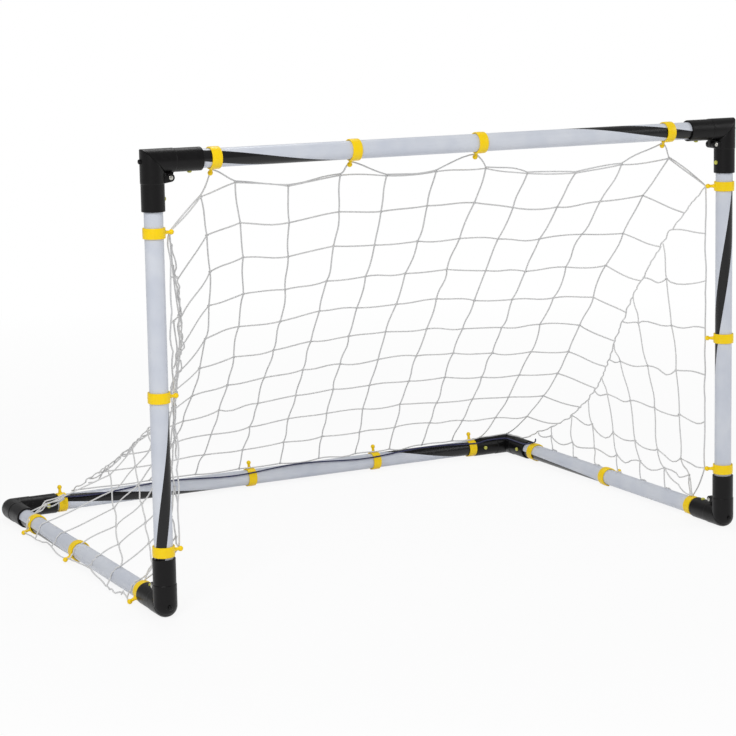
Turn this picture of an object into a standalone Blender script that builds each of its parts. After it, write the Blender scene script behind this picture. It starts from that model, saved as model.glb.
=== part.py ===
"""Folding soccer goal: a white tube frame with folding corners, clip-on net rings and a net.

Metres, +Z up. X runs along the crossbar, the goal mouth faces -Y, and the ground is z = 0.
The origin is the middle of the footprint on the ground. The front frame folds back over the
ground frame about the two bottom hinge pins.
"""

import math

import bmesh
import bpy
from mathutils import Matrix, Vector

# Frame, measured between tube axes
GOAL_WIDTH = 1.160
GOAL_HEIGHT = 0.748
GOAL_DEPTH = 0.795

# Tubes and the clearance between pieces that touch
TUBE_RADIUS = 0.016
TUBE_WALL = 0.0012
FIT = 0.0003

# Moulded corners
BODY_RADIUS = 0.0205
SOCKET_RADIUS = 0.0198
SOCKET_STEP = 0.037
SOCKET_CHAMFER = 0.0008
TUBE_STOP = 0.036
CHAMBER_RADIUS = 0.0145
GROUND_DROP = 0.020
TOP_POST_SOCKET = 0.083
TOP_BAR_SOCKET = 0.086
BOTTOM_POST_SOCKET = 0.081
SIDE_SOCKET = 0.083
ELBOW_SOCKET = 0.090

# Hinge of a folding corner: its pin runs at the inner corner, clear of both sockets
HINGE_OFFSET = 0.028
KNUCKLE_RADIUS = 0.0070
KNUCKLE_SPAN = 0.024
MIDDLE_KNUCKLE = 0.008
KNUCKLE_ROOT_HIGH = 0.009
KNUCKLE_ROOT_LOW = 0.003
PIN_RADIUS = 0.0022
PIN_HEAD_RADIUS = 0.0037
PIN_HEAD_HEIGHT = 0.0016
TONGUE_LENGTH = 0.012
TONGUE_WIDTH = 0.011
TONGUE_REACH = 0.006
TONGUE_START = -0.002

# Latch button on the outer side of a folding corner
LATCH_RADIUS = 0.0040
LATCH_PROUD = 0.0040
LATCH_FLANGE_RADIUS = 0.0052
LATCH_FLANGE = 0.0026
LATCH_WALL_GAP = 0.0009

# Snap buttons at the tube ends
BUTTON_INSET = 0.020
BUTTON_RADIUS = 0.0040
BUTTON_PROUD = 0.0030
BUTTON_FLANGE_RADIUS = 0.0058
BUTTON_FLANGE = 0.0022
LEAF_THICKNESS = 0.0007
LEAF_WIDTH = 0.007
LEAF_LENGTH = 0.034

# Clip-on net rings
RING_FIT = 0.0005
RING_WALL = 0.0025
RING_STEPS = 16
RING_WIDTH = 0.018
RING_OPENING = 36.0
RING_SLOT_TURN = 90.0
LUG_RADIUS = 0.0028
LUG_BALL_RADIUS = 0.0046
LUG_REACH = 0.0305
CROSSBAR_LUG_SLANT = 30.0
LEFT_LUG_SLANT = 0.0
RIGHT_LUG_SLANT = 30.0
GROUND_LUG_SLANT = 25.0
RAISED_LUG_SLANT = -15.0
REAR_LUG_SLANT = 10.0

# Ring places as parts of the free tube between two corners, and the least gap to a corner
RING_END_GAP = 0.0005
CROSSBAR_PARTS = (0.015, 0.285, 0.544, 0.962)
LEFT_POST_PARTS = (0.005, 0.468, 0.954)
RIGHT_POST_PARTS = (0.005, 0.456, 0.972)
LEFT_SIDE_PARTS = (0.0, 0.531, 0.917)
RIGHT_SIDE_PARTS = (0.005, 0.504, 0.971)
REAR_PARTS = (0.003, 0.440, 0.749, 1.0)

# Net, with its two back seams' control points as parts of the goal's width, depth and height
STRAND = 0.0026
BACK_COLUMNS = 12
NET_ROWS = 10
MESH_SIZE = 0.088
TOP_EDGE_SAG = 0.020
ROW_EASE = 1.13
COLUMN_EASE = 0.85
BELLY_LEFT = 0.064
BELLY_UP = 0.012
LEFT_DIP = 0.26
LEFT_DIP_RATE = 12.0
LEFT_SEAM_PARTS = ((-0.328, 0.503, 0.475), (-0.289, 0.616, 0.307))
RIGHT_SEAM_PARTS = ((0.388, 0.415, 0.388), (0.552, 0.201, 0.348))
LEFT_FOOT_PART = -0.3966
RIGHT_FOOT_PART = 0.4655
GROUND_ROW_OFFSET = 0.0065
GROUND_ROW_HEIGHT = 0.0225
LEFT_ROW_RADIUS = 0.0245
LEFT_ROW_ANGLE = 60.0
GROUND_ROW_START = 0.125

# Lacing cord along the rear bar, its bend at the elbow, and its tail's points as parts of a step
CORD_RADIUS = 0.0015
CORD_ANGLE = 45.0
CORD_WAVE = 12.0
CORD_WAVE_LENGTH = 0.31
CORD_STEP = 0.036
CORD_BEND = 0.012
CORD_TAIL = ((0.03, 0.11, 0.0), (0.22, 0.67, 0.14), (0.25, 1.0, 0.28), (0.11, 1.28, 0.5))

# Steps round a tube, and the radius below which an outline point lies on its turning axis
ROUND_STEPS = 24
AXIS_REACH = 1e-9

# Places that follow from the sizes above
RING_RADIUS = TUBE_RADIUS + RING_FIT
RING_OUTER = RING_RADIUS + RING_WALL
BORE_RADIUS = TUBE_RADIUS + FIT
FRONT_Y = -(GOAL_DEPTH - LATCH_PROUD) / 2
REAR_Y = FRONT_Y + GOAL_DEPTH
LEFT_X = -GOAL_WIDTH / 2
RIGHT_X = GOAL_WIDTH / 2
GROUND_Z = GROUND_DROP
TOP_Z = GROUND_Z + GOAL_HEIGHT

X = Vector((1, 0, 0))
Y = Vector((0, 1, 0))
Z = Vector((0, 0, 1))


def ring_places(parts, low, high):
    """Middles of rings at parts of the free tube from `low` to `high`."""
    first = low + RING_WIDTH / 2 + RING_END_GAP
    last = high - RING_WIDTH / 2 - RING_END_GAP
    return [first + (last - first) * part for part in parts]


CROSSBAR_RINGS = ring_places(CROSSBAR_PARTS, LEFT_X + TOP_BAR_SOCKET, RIGHT_X - TOP_BAR_SOCKET)
LEFT_POST_RINGS = ring_places(LEFT_POST_PARTS, BOTTOM_POST_SOCKET, GOAL_HEIGHT - TOP_POST_SOCKET)
RIGHT_POST_RINGS = ring_places(RIGHT_POST_PARTS, BOTTOM_POST_SOCKET, GOAL_HEIGHT - TOP_POST_SOCKET)
LEFT_SIDE_RINGS = ring_places(LEFT_SIDE_PARTS, SIDE_SOCKET, GOAL_DEPTH - ELBOW_SOCKET)
RIGHT_SIDE_RINGS = ring_places(RIGHT_SIDE_PARTS, SIDE_SOCKET, GOAL_DEPTH - ELBOW_SOCKET)
REAR_RINGS = ring_places(REAR_PARTS, LEFT_X + ELBOW_SOCKET, RIGHT_X - ELBOW_SOCKET)


def material(name, color, roughness, metallic=0.0):
    """A plain Principled material."""
    made = bpy.data.materials.new(name)
    made.use_nodes = True
    shader = made.node_tree.nodes["Principled BSDF"]
    shader.inputs["Base Color"].default_value = (*color, 1.0)
    shader.inputs["Roughness"].default_value = roughness
    shader.inputs["Metallic"].default_value = metallic
    return made


def placed(origin, along, toward):
    """Matrix that puts local +Z on `along`, local +X on `toward` and the origin at `origin`."""
    side = along.cross(toward)
    turn = Matrix((toward, side, along)).transposed()
    return Matrix.Translation(origin) @ turn.to_4x4()


def add_object(name, mesh, look, place=None, parent=None):
    """Object with one material, smooth where its faces meet at less than 40 degrees."""
    if not mesh.materials:
        mesh.materials.append(look)
    mesh.shade_smooth()
    mesh.set_sharp_from_angle(angle=math.radians(40))
    obj = bpy.data.objects.new(name, mesh)
    bpy.context.collection.objects.link(obj)
    if place is not None:
        obj.matrix_world = place
    if parent is not None:
        obj.parent = parent
        obj.matrix_parent_inverse = parent.matrix_world.inverted()
    return obj


def mesh_from(bm, name):
    """Mesh data from a bmesh, with its faces pointing out."""
    bmesh.ops.recalc_face_normals(bm, faces=bm.faces[:])
    mesh = bpy.data.meshes.new(name)
    bm.to_mesh(mesh)
    bm.free()
    return mesh


def lathe(name, profile, steps=ROUND_STEPS, sweep=360.0, start=0.0):
    """Solid turned about local Z from an outline of (radius, height) points.

    The outline closes on the turning axis or on its own first point. It is swept by `sweep`
    degrees, beginning `start` degrees round from +X.
    """
    bm = bmesh.new()
    full = sweep >= 360.0
    on_axis = {}
    sections = []
    for i in range(steps if full else steps + 1):
        angle = math.radians(start + sweep * i / steps)
        section = []
        for radius, height in profile:
            if radius < AXIS_REACH:
                if height not in on_axis:
                    on_axis[height] = bm.verts.new((0, 0, height))
                section.append(on_axis[height])
            else:
                section.append(bm.verts.new((radius * math.cos(angle), radius * math.sin(angle), height)))
        sections.append(section)
    pairs = list(zip(sections, sections[1:]))
    if full:
        pairs.append((sections[-1], sections[0]))
    else:
        bm.faces.new(sections[0])
        bm.faces.new(sections[-1])
    closed = profile[0][0] > AXIS_REACH
    for here, there in pairs:
        for j in range(len(profile) if closed else len(profile) - 1):
            k = (j + 1) % len(profile)
            corners = [here[j], there[j], there[k], here[k]]
            bm.faces.new([vert for n, vert in enumerate(corners) if vert not in corners[:n]])
    return mesh_from(bm, name)


def prism(name, outline, low, high):
    """Solid with an outline in the XZ plane, extruded along Y from `low` to `high`."""
    bm = bmesh.new()
    face = bm.faces.new([bm.verts.new((x, low, z)) for x, z in outline])
    grown = bmesh.ops.extrude_face_region(bm, geom=[face])
    tops = [item for item in grown["geom"] if isinstance(item, bmesh.types.BMVert)]
    bmesh.ops.translate(bm, verts=tops, vec=(0, high - low, 0))
    return mesh_from(bm, name)


def block(name, size, place):
    """Box of the given size, centred on a matrix."""
    bm = bmesh.new()
    bmesh.ops.create_cube(bm, size=1.0, matrix=place @ Matrix.Diagonal((*size, 1.0)))
    return mesh_from(bm, name)


def rod(name, radius, start, end, steps=10):
    """Round bar between two points."""
    start = Vector(start)
    end = Vector(end)
    reach = end - start
    mesh = lathe(name, [(0, 0), (radius, 0), (radius, reach.length), (0, reach.length)], steps)
    mesh.transform(Matrix.Translation(start) @ reach.to_track_quat("Z", "Y").to_matrix().to_4x4())
    return mesh


def carved(base, changes):
    """Mesh left after a list of ("UNION" or "DIFFERENCE", mesh) steps on a base mesh."""
    body = bpy.data.objects.new(base.name, base)
    bpy.context.collection.objects.link(body)
    tools = []
    for operation, mesh in changes:
        tool = bpy.data.objects.new(mesh.name, mesh)
        bpy.context.collection.objects.link(tool)
        tool.hide_render = True
        tool.display_type = "WIRE"
        step = body.modifiers.new(operation.title(), "BOOLEAN")
        step.operation = operation
        step.object = tool
        step.solver = "EXACT"
        tools.append(tool)
    bpy.context.view_layer.update()
    evaluated = body.evaluated_get(bpy.context.evaluated_depsgraph_get())
    result = bpy.data.meshes.new_from_object(evaluated)
    result.name = base.name
    for item in [body] + tools:
        bpy.data.objects.remove(item)
    return result


def arc(center, radius, start, end, steps):
    """Points on a circle from `start` to `end` degrees."""
    angles = [math.radians(start + (end - start) * i / steps) for i in range(steps + 1)]
    return [(center[0] + radius * math.cos(a), center[1] + radius * math.sin(a)) for a in angles]


def socket_outline(length, lower_end):
    """Outer half outline of a socket, from its lower end up to its mouth."""
    return lower_end + [
        (BODY_RADIUS, SOCKET_STEP - SOCKET_CHAMFER),
        (SOCKET_RADIUS, SOCKET_STEP),
        (SOCKET_RADIUS, length - SOCKET_CHAMFER),
        (SOCKET_RADIUS - SOCKET_CHAMFER, length),
        (0, length),
    ]


def button_hole(length):
    """Cutter for the snap button's hole in a socket along local Z."""
    height = length - BUTTON_INSET
    inside = (CHAMBER_RADIUS / 2, 0, height)
    return rod("button_hole", BUTTON_RADIUS + FIT, inside, (2 * BODY_RADIUS, 0, height))


def mitre_cutter():
    """Block that takes away the other half of a folding corner, less half the joint's gap."""
    size = 8 * BODY_RADIUS
    normal = (X - Z).normalized()
    return block("mitre", (size, size, size), placed(normal * (size - FIT) / 2, normal, Y))


def knuckle_outline():
    """Barrel round the hinge pin at the end of a tab that stands square on the socket."""
    center = (HINGE_OFFSET, HINGE_OFFSET)
    root = CHAMBER_RADIUS
    barrel = arc(center, KNUCKLE_RADIUS, 80.0, -140.0, 9)
    return barrel + [(root, HINGE_OFFSET - KNUCKLE_ROOT_LOW), (root, HINGE_OFFSET + KNUCKLE_ROOT_HIGH)]


def corner_half(name, length, rounded, outer_knuckles, ground_flat=False):
    """Half of a folding corner, with its socket along local +Z and the other half along +X.

    The half that carries the outer knuckles holds the latch button and is hollow at the mitre.
    The other half has the middle knuckle and a tongue that enters the hollow.
    """
    if rounded:
        lower = arc((0, 0), BODY_RADIUS, -90.0, 0.0, 4)
        chamber_end = arc((0, 0), CHAMBER_RADIUS, -90.0, 0.0, 3)
    else:
        lower = [(0, -2 * BODY_RADIUS), (BODY_RADIUS, -2 * BODY_RADIUS)]
        chamber_end = [(0, -3 * BODY_RADIUS), (CHAMBER_RADIUS, -3 * BODY_RADIUS)]
    half_middle = MIDDLE_KNUCKLE / 2
    half_span = KNUCKLE_SPAN / 2
    changes = [("DIFFERENCE", mitre_cutter())]
    bore = [(BORE_RADIUS, TUBE_STOP), (BORE_RADIUS, 2 * length), (0, 2 * length)]
    if outer_knuckles:
        for low, high in ((-half_span, -half_middle - FIT), (half_middle + FIT, half_span)):
            changes.append(("UNION", prism("knuckle", knuckle_outline(), low, high)))
        changes.append(("DIFFERENCE", lathe("bore", chamber_end + [(CHAMBER_RADIUS, TUBE_STOP)] + bore)))
        changes.append(("DIFFERENCE", rod(
            "latch_hole", LATCH_RADIUS + FIT, (-CHAMBER_RADIUS / 2, 0, 0), (-2 * BODY_RADIUS, 0, 0))))
    else:
        changes.append(("UNION", prism("knuckle", knuckle_outline(), -half_middle, half_middle)))
        changes.append(("DIFFERENCE", lathe("bore", [(0, TUBE_STOP)] + bore)))
        along_mitre = (X + Z).normalized()
        outward = (X - Z).normalized()
        depth = 2 * TONGUE_REACH
        middle = along_mitre * (TONGUE_START + TONGUE_LENGTH / 2)
        changes.append(("UNION", block(
            "tongue", (TONGUE_WIDTH, TONGUE_LENGTH, depth), placed(middle, outward, Y))))
    if ground_flat:
        size = 8 * SIDE_SOCKET
        below = placed(-X * (GROUND_DROP + size / 2), -X, Y)
        changes.append(("DIFFERENCE", block("ground", (size, size, size), below)))
    changes.append(("DIFFERENCE", rod(
        "pin_hole", PIN_RADIUS + FIT, (HINGE_OFFSET, -KNUCKLE_SPAN, HINGE_OFFSET),
        (HINGE_OFFSET, KNUCKLE_SPAN, HINGE_OFFSET))))
    changes.append(("DIFFERENCE", button_hole(length)))
    return carved(lathe(name, socket_outline(length, lower)), changes)


def rear_elbow_mesh():
    """One-piece elbow with sockets along local +Z and +X, flat above and below."""
    span = 4 * ELBOW_SOCKET
    turned = placed(Vector(), X, Z)
    bore = [(0, TUBE_STOP), (BORE_RADIUS, TUBE_STOP), (BORE_RADIUS, 2 * ELBOW_SOCKET), (0, 2 * ELBOW_SOCKET)]
    legs = []
    hollows = []
    for name, place, lower in (
            ("rear_elbow", Matrix(), arc((0, 0), BODY_RADIUS, -90.0, 0.0, 4)),
            ("elbow_leg", turned, [(0, 0), (BODY_RADIUS, 0)])):
        leg = lathe(name, socket_outline(ELBOW_SOCKET, lower))
        leg.transform(place)
        slab = block("slab", (span, span, 2 * GROUND_DROP), placed(Vector(), Y, X))
        legs.append(carved(leg, [("INTERSECT", slab)]))
        for hollow in (lathe("bore", bore), button_hole(ELBOW_SOCKET)):
            hollow.transform(place)
            hollows.append(("DIFFERENCE", hollow))
    return carved(legs[0], [("UNION", legs[1])] + hollows)


def tube_mesh(name, length, first_hole, second_hole, turn=0.0):
    """Tube along local +Z with a button hole near each end, the second turned round by `turn`."""
    inner = TUBE_RADIUS - TUBE_WALL
    wall = [(inner, 0), (TUBE_RADIUS, 0), (TUBE_RADIUS, length), (inner, length)]
    cutters = []
    for height, angle in ((first_hole, 0.0), (length - second_hole, turn)):
        cutter = rod("hole", BUTTON_RADIUS + FIT, (inner / 2, 0, height), (2 * TUBE_RADIUS, 0, height))
        cutter.transform(Matrix.Rotation(angle, 4, "Z"))
        cutters.append(("DIFFERENCE", cutter))
    return carved(lathe(name, wall), cutters)


def pin_mesh():
    """Hinge pin with a head at each end, along local Z and centred."""
    seat = KNUCKLE_SPAN / 2 + FIT
    end = seat + PIN_HEAD_HEIGHT
    return lathe("hinge_pin", [
        (0, -end), (PIN_HEAD_RADIUS, -end), (PIN_HEAD_RADIUS, -seat), (PIN_RADIUS, -seat),
        (PIN_RADIUS, seat), (PIN_HEAD_RADIUS, seat), (PIN_HEAD_RADIUS, end), (0, end)], 12)


def latch_mesh():
    """Latch button along local +Z, with a flange that holds it behind the corner's wall."""
    seat = math.sqrt(CHAMBER_RADIUS ** 2 - LATCH_FLANGE_RADIUS ** 2) - LATCH_WALL_GAP
    tip = BODY_RADIUS + LATCH_PROUD
    crown = LATCH_RADIUS / 3
    return lathe("latch_button", [
        (0, seat - LATCH_FLANGE), (LATCH_FLANGE_RADIUS, seat - LATCH_FLANGE), (LATCH_FLANGE_RADIUS, seat),
        (LATCH_RADIUS, seat), (LATCH_RADIUS, tip - crown), (LATCH_RADIUS - crown, tip), (0, tip)], 12)


def snap_button_mesh():
    """Snap button along local +X, riveted to a leaf spring that folds back along local Z."""
    inner = TUBE_RADIUS - TUBE_WALL
    seat = math.sqrt(inner ** 2 - BUTTON_FLANGE_RADIUS ** 2) - FIT
    tip = SOCKET_RADIUS + BUTTON_PROUD
    shoulder = tip - BUTTON_RADIUS / 2
    button = lathe("snap_button", [
        (0, seat - BUTTON_FLANGE), (BUTTON_FLANGE_RADIUS, seat - BUTTON_FLANGE), (BUTTON_FLANGE_RADIUS, seat),
        (BUTTON_RADIUS, seat), (BUTTON_RADIUS, shoulder), (0.7 * BUTTON_RADIUS, tip - 0.15 * BUTTON_RADIUS),
        (0, tip)], 8)
    button.transform(placed(Vector(), X, Y))
    leaf_x = seat - BUTTON_FLANGE
    back_x = BUTTON_PROUD + LEAF_THICKNESS - inner + FIT
    half = LEAF_THICKNESS / 2
    path = [
        (leaf_x, -BUTTON_RADIUS), (leaf_x, BUTTON_RADIUS), (leaf_x / 2, 0.65 * LEAF_LENGTH),
        (-leaf_x / 3, LEAF_LENGTH), (0.8 * back_x, 0.7 * LEAF_LENGTH), (back_x, 0.1 * LEAF_LENGTH)]
    outer = [(x + half, z + half) for x, z in path[:3]] + [(path[3][0], path[3][1] + 2 * half)]
    outer += [(x - half, z + half) for x, z in path[4:]]
    inner_side = [(x - half, z - half) for x, z in path[:3]] + [(path[3][0], path[3][1] - 2 * half)]
    inner_side += [(x + half, z - half) for x, z in path[4:]]
    leaf = prism("leaf", outer + inner_side[::-1], -LEAF_WIDTH / 2, LEAF_WIDTH / 2)
    return carved(button, [("UNION", leaf)])


def ring_mesh():
    """Clip-on ring round a tube along local Z, with a ball-ended lug along +X and a slot to one side."""
    half = RING_WIDTH / 2
    section = [(RING_RADIUS, -half), (RING_OUTER, -half), (RING_OUTER, half), (RING_RADIUS, half)]
    ring = lathe(
        "net_ring", section, RING_STEPS, 360.0 - RING_OPENING, RING_SLOT_TURN + RING_OPENING / 2)
    ball = arc((0, LUG_REACH), LUG_BALL_RADIUS, -50.0, 90.0, 3)
    lug = lathe("lug", [
        (0, RING_RADIUS + 0.3 * RING_WALL), (1.5 * LUG_RADIUS, RING_RADIUS + 0.3 * RING_WALL),
        (LUG_RADIUS, RING_OUTER + LUG_RADIUS)] + ball, 6)
    lug.transform(placed(Vector(), X, Y))
    return carved(ring, [("UNION", lug)])


# Net: knots on a smooth sheet, joined by strands. Places are back from the posts and up from the
# ground tubes.

def held_at(slant):
    """How far a strand behind a lug's ball lies from the tube's axis: along the frame and back."""
    turn = math.radians(slant)
    return LUG_REACH * math.cos(turn), LUG_REACH * math.sin(turn) + LUG_BALL_RADIUS + STRAND


def bezier(points, t):
    """Point of a cubic curve at t from 0 to 1."""
    a, b, c, d = (Vector(point) for point in points)
    s = 1 - t
    return a * s ** 3 + b * 3 * s * s * t + c * 3 * s * t * t + d * t ** 3


def post_edge(side, height):
    """Point of the net's edge at a height on a post, held by the post's lugs."""
    inside, back = held_at(LEFT_LUG_SLANT if side < 0 else RIGHT_LUG_SLANT)
    return Vector((side * (RIGHT_X - inside), back, height))


def seam(top, parts, foot):
    """Control points of a back seam, from the post's top lug to the rear bar."""
    middle = [(x * GOAL_WIDTH, y * GOAL_DEPTH, z * GOAL_HEIGHT) for x, y, z in parts]
    return (top, *middle, (foot, REAR_ROW, GROUND_ROW_HEIGHT))


LEFT_TOP = post_edge(-1, LEFT_POST_RINGS[-1])
RIGHT_TOP = post_edge(1, RIGHT_POST_RINGS[-1])
REAR_ROW = GOAL_DEPTH - GROUND_ROW_OFFSET
LEFT_SEAM_FOOT = LEFT_FOOT_PART * GOAL_WIDTH
RIGHT_SEAM_FOOT = RIGHT_FOOT_PART * GOAL_WIDTH
LEFT_SEAM = seam(LEFT_TOP, LEFT_SEAM_PARTS, LEFT_SEAM_FOOT)
RIGHT_SEAM = seam(RIGHT_TOP, RIGHT_SEAM_PARTS, RIGHT_SEAM_FOOT)


def top_edge(u):
    """Top edge of the net: it hangs in shallow swags from the lugs of the crossbar's rings."""
    x = LEFT_TOP.x + (RIGHT_TOP.x - LEFT_TOP.x) * u
    drop, back = held_at(CROSSBAR_LUG_SLANT)
    supports = [LEFT_TOP] + [Vector((at, back, GOAL_HEIGHT - drop)) for at in CROSSBAR_RINGS] + [RIGHT_TOP]
    for first, second in zip(supports, supports[1:]):
        if x <= second.x:
            part = (x - first.x) / (second.x - first.x)
            sag = 4 * TOP_EDGE_SAG * part * (1 - part) if first.z == second.z else 0.0
            return first.lerp(second, part) - Z * sag
    return RIGHT_TOP


def rear_edge(u):
    """Rear edge of the net along the rear bar, with its meshes closer together on the right."""
    x = LEFT_SEAM_FOOT + (RIGHT_SEAM_FOOT - LEFT_SEAM_FOOT) * u ** COLUMN_EASE
    return Vector((x, REAR_ROW, GROUND_ROW_HEIGHT))


def back_sheet(u, row_part):
    """Point of the back of the net: the patch between its four edges, plus its sag.

    The patch adds the blend of top and rear edges to the blend of the two seams and takes away
    the blend of the four corners.
    """
    v = row_part ** ROW_EASE
    across = top_edge(u) * (1 - v) + rear_edge(u) * v
    down = bezier(LEFT_SEAM, v) * (1 - u) + bezier(RIGHT_SEAM, v) * u
    corners = (top_edge(0) * (1 - u) + top_edge(1) * u) * (1 - v)
    corners += (rear_edge(0) * (1 - u) + rear_edge(1) * u) * v
    point = across + down - corners
    middle = math.sin(math.pi * v)
    width = math.sin(math.pi * u)
    if width > 0:
        point += (Z * BELLY_UP - X * BELLY_LEFT) * math.sqrt(width) * middle
        point.z -= LEFT_DIP * width ** 0.3 * math.exp(-LEFT_DIP_RATE * u) * middle
    return point


def ground_row(side, step, count):
    """Knot of a side's lowest row, `step` of `count` back from the post."""
    y = GROUND_ROW_START + (GOAL_DEPTH - ELBOW_SOCKET - GROUND_ROW_START) * (step - 1) / max(count - 2, 1)
    if side > 0:
        return Vector((RIGHT_X - GROUND_ROW_OFFSET, y, GROUND_ROW_HEIGHT))
    turned = max(0, step - (count - 3)) / 2
    angle = math.radians(LEFT_ROW_ANGLE * (1 - 0.75 * turned))
    x = LEFT_X - LEFT_ROW_RADIUS * math.sin(angle)
    return Vector((x, y, LEFT_ROW_RADIUS * math.cos(angle)))


def net_knots():
    """Knot places by key, and strands as (knot, its side, next knot, its side) tuples."""
    places = {}
    strands = []
    for row in range(NET_ROWS + 1):
        for column in range(BACK_COLUMNS + 1):
            places[("back", column, row)] = back_sheet(column / BACK_COLUMNS, row / NET_ROWS)
            if column:
                strands.append((("back", column - 1, row), "U+", ("back", column, row), "U-"))
            if row:
                strands.append((("back", column, row - 1), "V+", ("back", column, row), "V-"))
    for side, seam_column, rings, to_seam, from_post in (
            (-1, 0, LEFT_POST_RINGS, "U+", "U-"), (1, BACK_COLUMNS, RIGHT_POST_RINGS, "U-", "U+")):
        for row in range(1, NET_ROWS + 1):
            seam = places[("back", seam_column, row)]
            edge = post_edge(side, rings[-1] + (rings[0] - rings[-1]) * row / (NET_ROWS - 1))
            reach = (seam - edge).length
            count = max(1, round(reach / MESH_SIZE))
            on_ground = row == NET_ROWS
            keys = [(side, step, row) for step in range(1 if on_ground else 0, count)]
            for key in keys:
                step = key[1]
                between = edge.lerp(seam, step * MESH_SIZE / reach)
                places[key] = ground_row(side, step, count) if on_ground else between
                above = (side, step, row - 1)
                if above in places:
                    strands.append((above, "V+", key, "V-"))
            keys.append(("back", seam_column, row))
            for near_post, near_seam in zip(keys, keys[1:]):
                strands.append((near_post, to_seam, near_seam, from_post))
        strands.append(((side, 0, 1), "V-", ("back", seam_column, 0), from_post))
    return places, strands


def net_mesh():
    """The whole net as one closed lattice: a small cube at each knot, a square strand on each link."""
    places, strands = net_knots()
    ends = {}
    for first, first_side, second, second_side in strands:
        ends[(first, first_side)] = second
        ends[(second, second_side)] = first
    bm = bmesh.new()
    loops = {}
    square = ((-1, -1), (1, -1), (1, 1), (-1, 1))
    for key, place in places.items():
        toward = {side: places[ends[(key, side)]] if (key, side) in ends else place
                  for side in ("U-", "U+", "V-", "V+")}
        across = (toward["U+"] - toward["U-"]).normalized()
        normal = across.cross(toward["V+"] - toward["V-"]).normalized()
        down = normal.cross(across)
        cube = {}
        for a, b in square:
            for c in (-1, 1):
                cube[(a, b, c)] = bm.verts.new(place + (across * a + down * b + normal * c) * STRAND / 2)
        for sign, mark in ((-1, "-"), (1, "+")):
            loops[(key, "U" + mark)] = [cube[(sign, b, c)] for b, c in square]
            loops[(key, "V" + mark)] = [cube[(a, sign, c)] for a, c in square]
            bm.faces.new([cube[(a, b, sign)] for a, b in square])
    for place, loop in loops.items():
        if place not in ends:
            bm.faces.new(loop)
    for first, first_side, second, second_side in strands:
        near = loops[(first, first_side)]
        far = loops[(second, second_side)]
        turns = [order[i:] + order[:i] for order in (far, far[::-1]) for i in range(4)]
        best = min(turns, key=lambda turn: sum((a.co - b.co).length for a, b in zip(near, turn)))
        for i in range(4):
            j = (i + 1) % 4
            bm.faces.new((near[i], near[j], best[j], best[i]))
    bmesh.ops.translate(bm, verts=bm.verts[:], vec=(0, FRONT_Y, GROUND_Z))
    return mesh_from(bm, "net")


def cord_route():
    """Lacing cord: along the rear bar's upper front, over the right elbow to a tail on the side tube."""
    route = []
    start = LEFT_X + ELBOW_SOCKET
    stop = RIGHT_X - ELBOW_SOCKET
    count = round((stop - start) / CORD_STEP)
    over_ring = RING_OUTER + CORD_RADIUS + FIT
    over_body = BODY_RADIUS + CORD_RADIUS + FIT
    for i in range(count + 1):
        x = start + (stop - start) * i / count
        wave = math.sin(2 * math.pi * (x - start) / CORD_WAVE_LENGTH)
        angle = math.radians(CORD_ANGLE + CORD_WAVE * wave)
        radius = over_body if i in (0, count) else over_ring
        route.append((x, REAR_Y - radius * math.sin(angle), GROUND_Z + radius * math.cos(angle)))
    low = over_body * math.sin(math.radians(CORD_ANGLE))
    corner = RIGHT_X - low
    back = REAR_Y - low
    route += [
        (corner - CORD_BEND - CORD_STEP, back, GROUND_Z + low),
        (corner - CORD_BEND, back - CORD_BEND / 12, GROUND_Z + low),
        (corner - CORD_BEND / 4, back - CORD_BEND * 5 / 12, GROUND_Z + low),
        (corner, back - CORD_BEND, GROUND_Z + low),
        (corner, back - CORD_BEND - CORD_STEP, GROUND_Z + low),
    ]
    for out, on, up in CORD_TAIL:
        route.append((
            corner + out * CORD_STEP, REAR_Y - ELBOW_SOCKET - on * CORD_STEP, GROUND_Z + low + up * CORD_STEP))
    return route


def smooth_route(points, steps):
    """Points of a Catmull-Rom curve through the route's own points."""
    ends = [2 * Vector(points[0]) - Vector(points[1])] + [Vector(p) for p in points]
    ends.append(2 * ends[-1] - ends[-2])
    curve = []
    for a, b, c, d in zip(ends, ends[1:], ends[2:], ends[3:]):
        for i in range(steps):
            t = i / steps
            curve.append(0.5 * (
                2 * b + (c - a) * t + (2 * a - 5 * b + 4 * c - d) * t * t + (3 * b - a - 3 * c + d) * t ** 3))
    curve.append(ends[-2])
    return curve


def add_cord(look):
    """Lacing cord as a round curve with closed ends."""
    points = smooth_route(cord_route(), 2)
    data = bpy.data.curves.new("lacing_cord", "CURVE")
    data.dimensions = "3D"
    data.bevel_depth = CORD_RADIUS
    data.bevel_resolution = 2
    data.use_fill_caps = True
    data.materials.append(look)
    spline = data.splines.new("POLY")
    spline.points.add(len(points) - 1)
    for point, place in zip(spline.points, points):
        point.co = (*place, 1.0)
    obj = bpy.data.objects.new("lacing_cord", data)
    bpy.context.collection.objects.link(obj)


def add_empty(name, place):
    """Marker on a joint's axis that the moving pieces are parented to."""
    empty = bpy.data.objects.new(name, None)
    empty.location = place
    bpy.context.collection.objects.link(empty)
    bpy.context.view_layer.update()
    return empty


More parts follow.
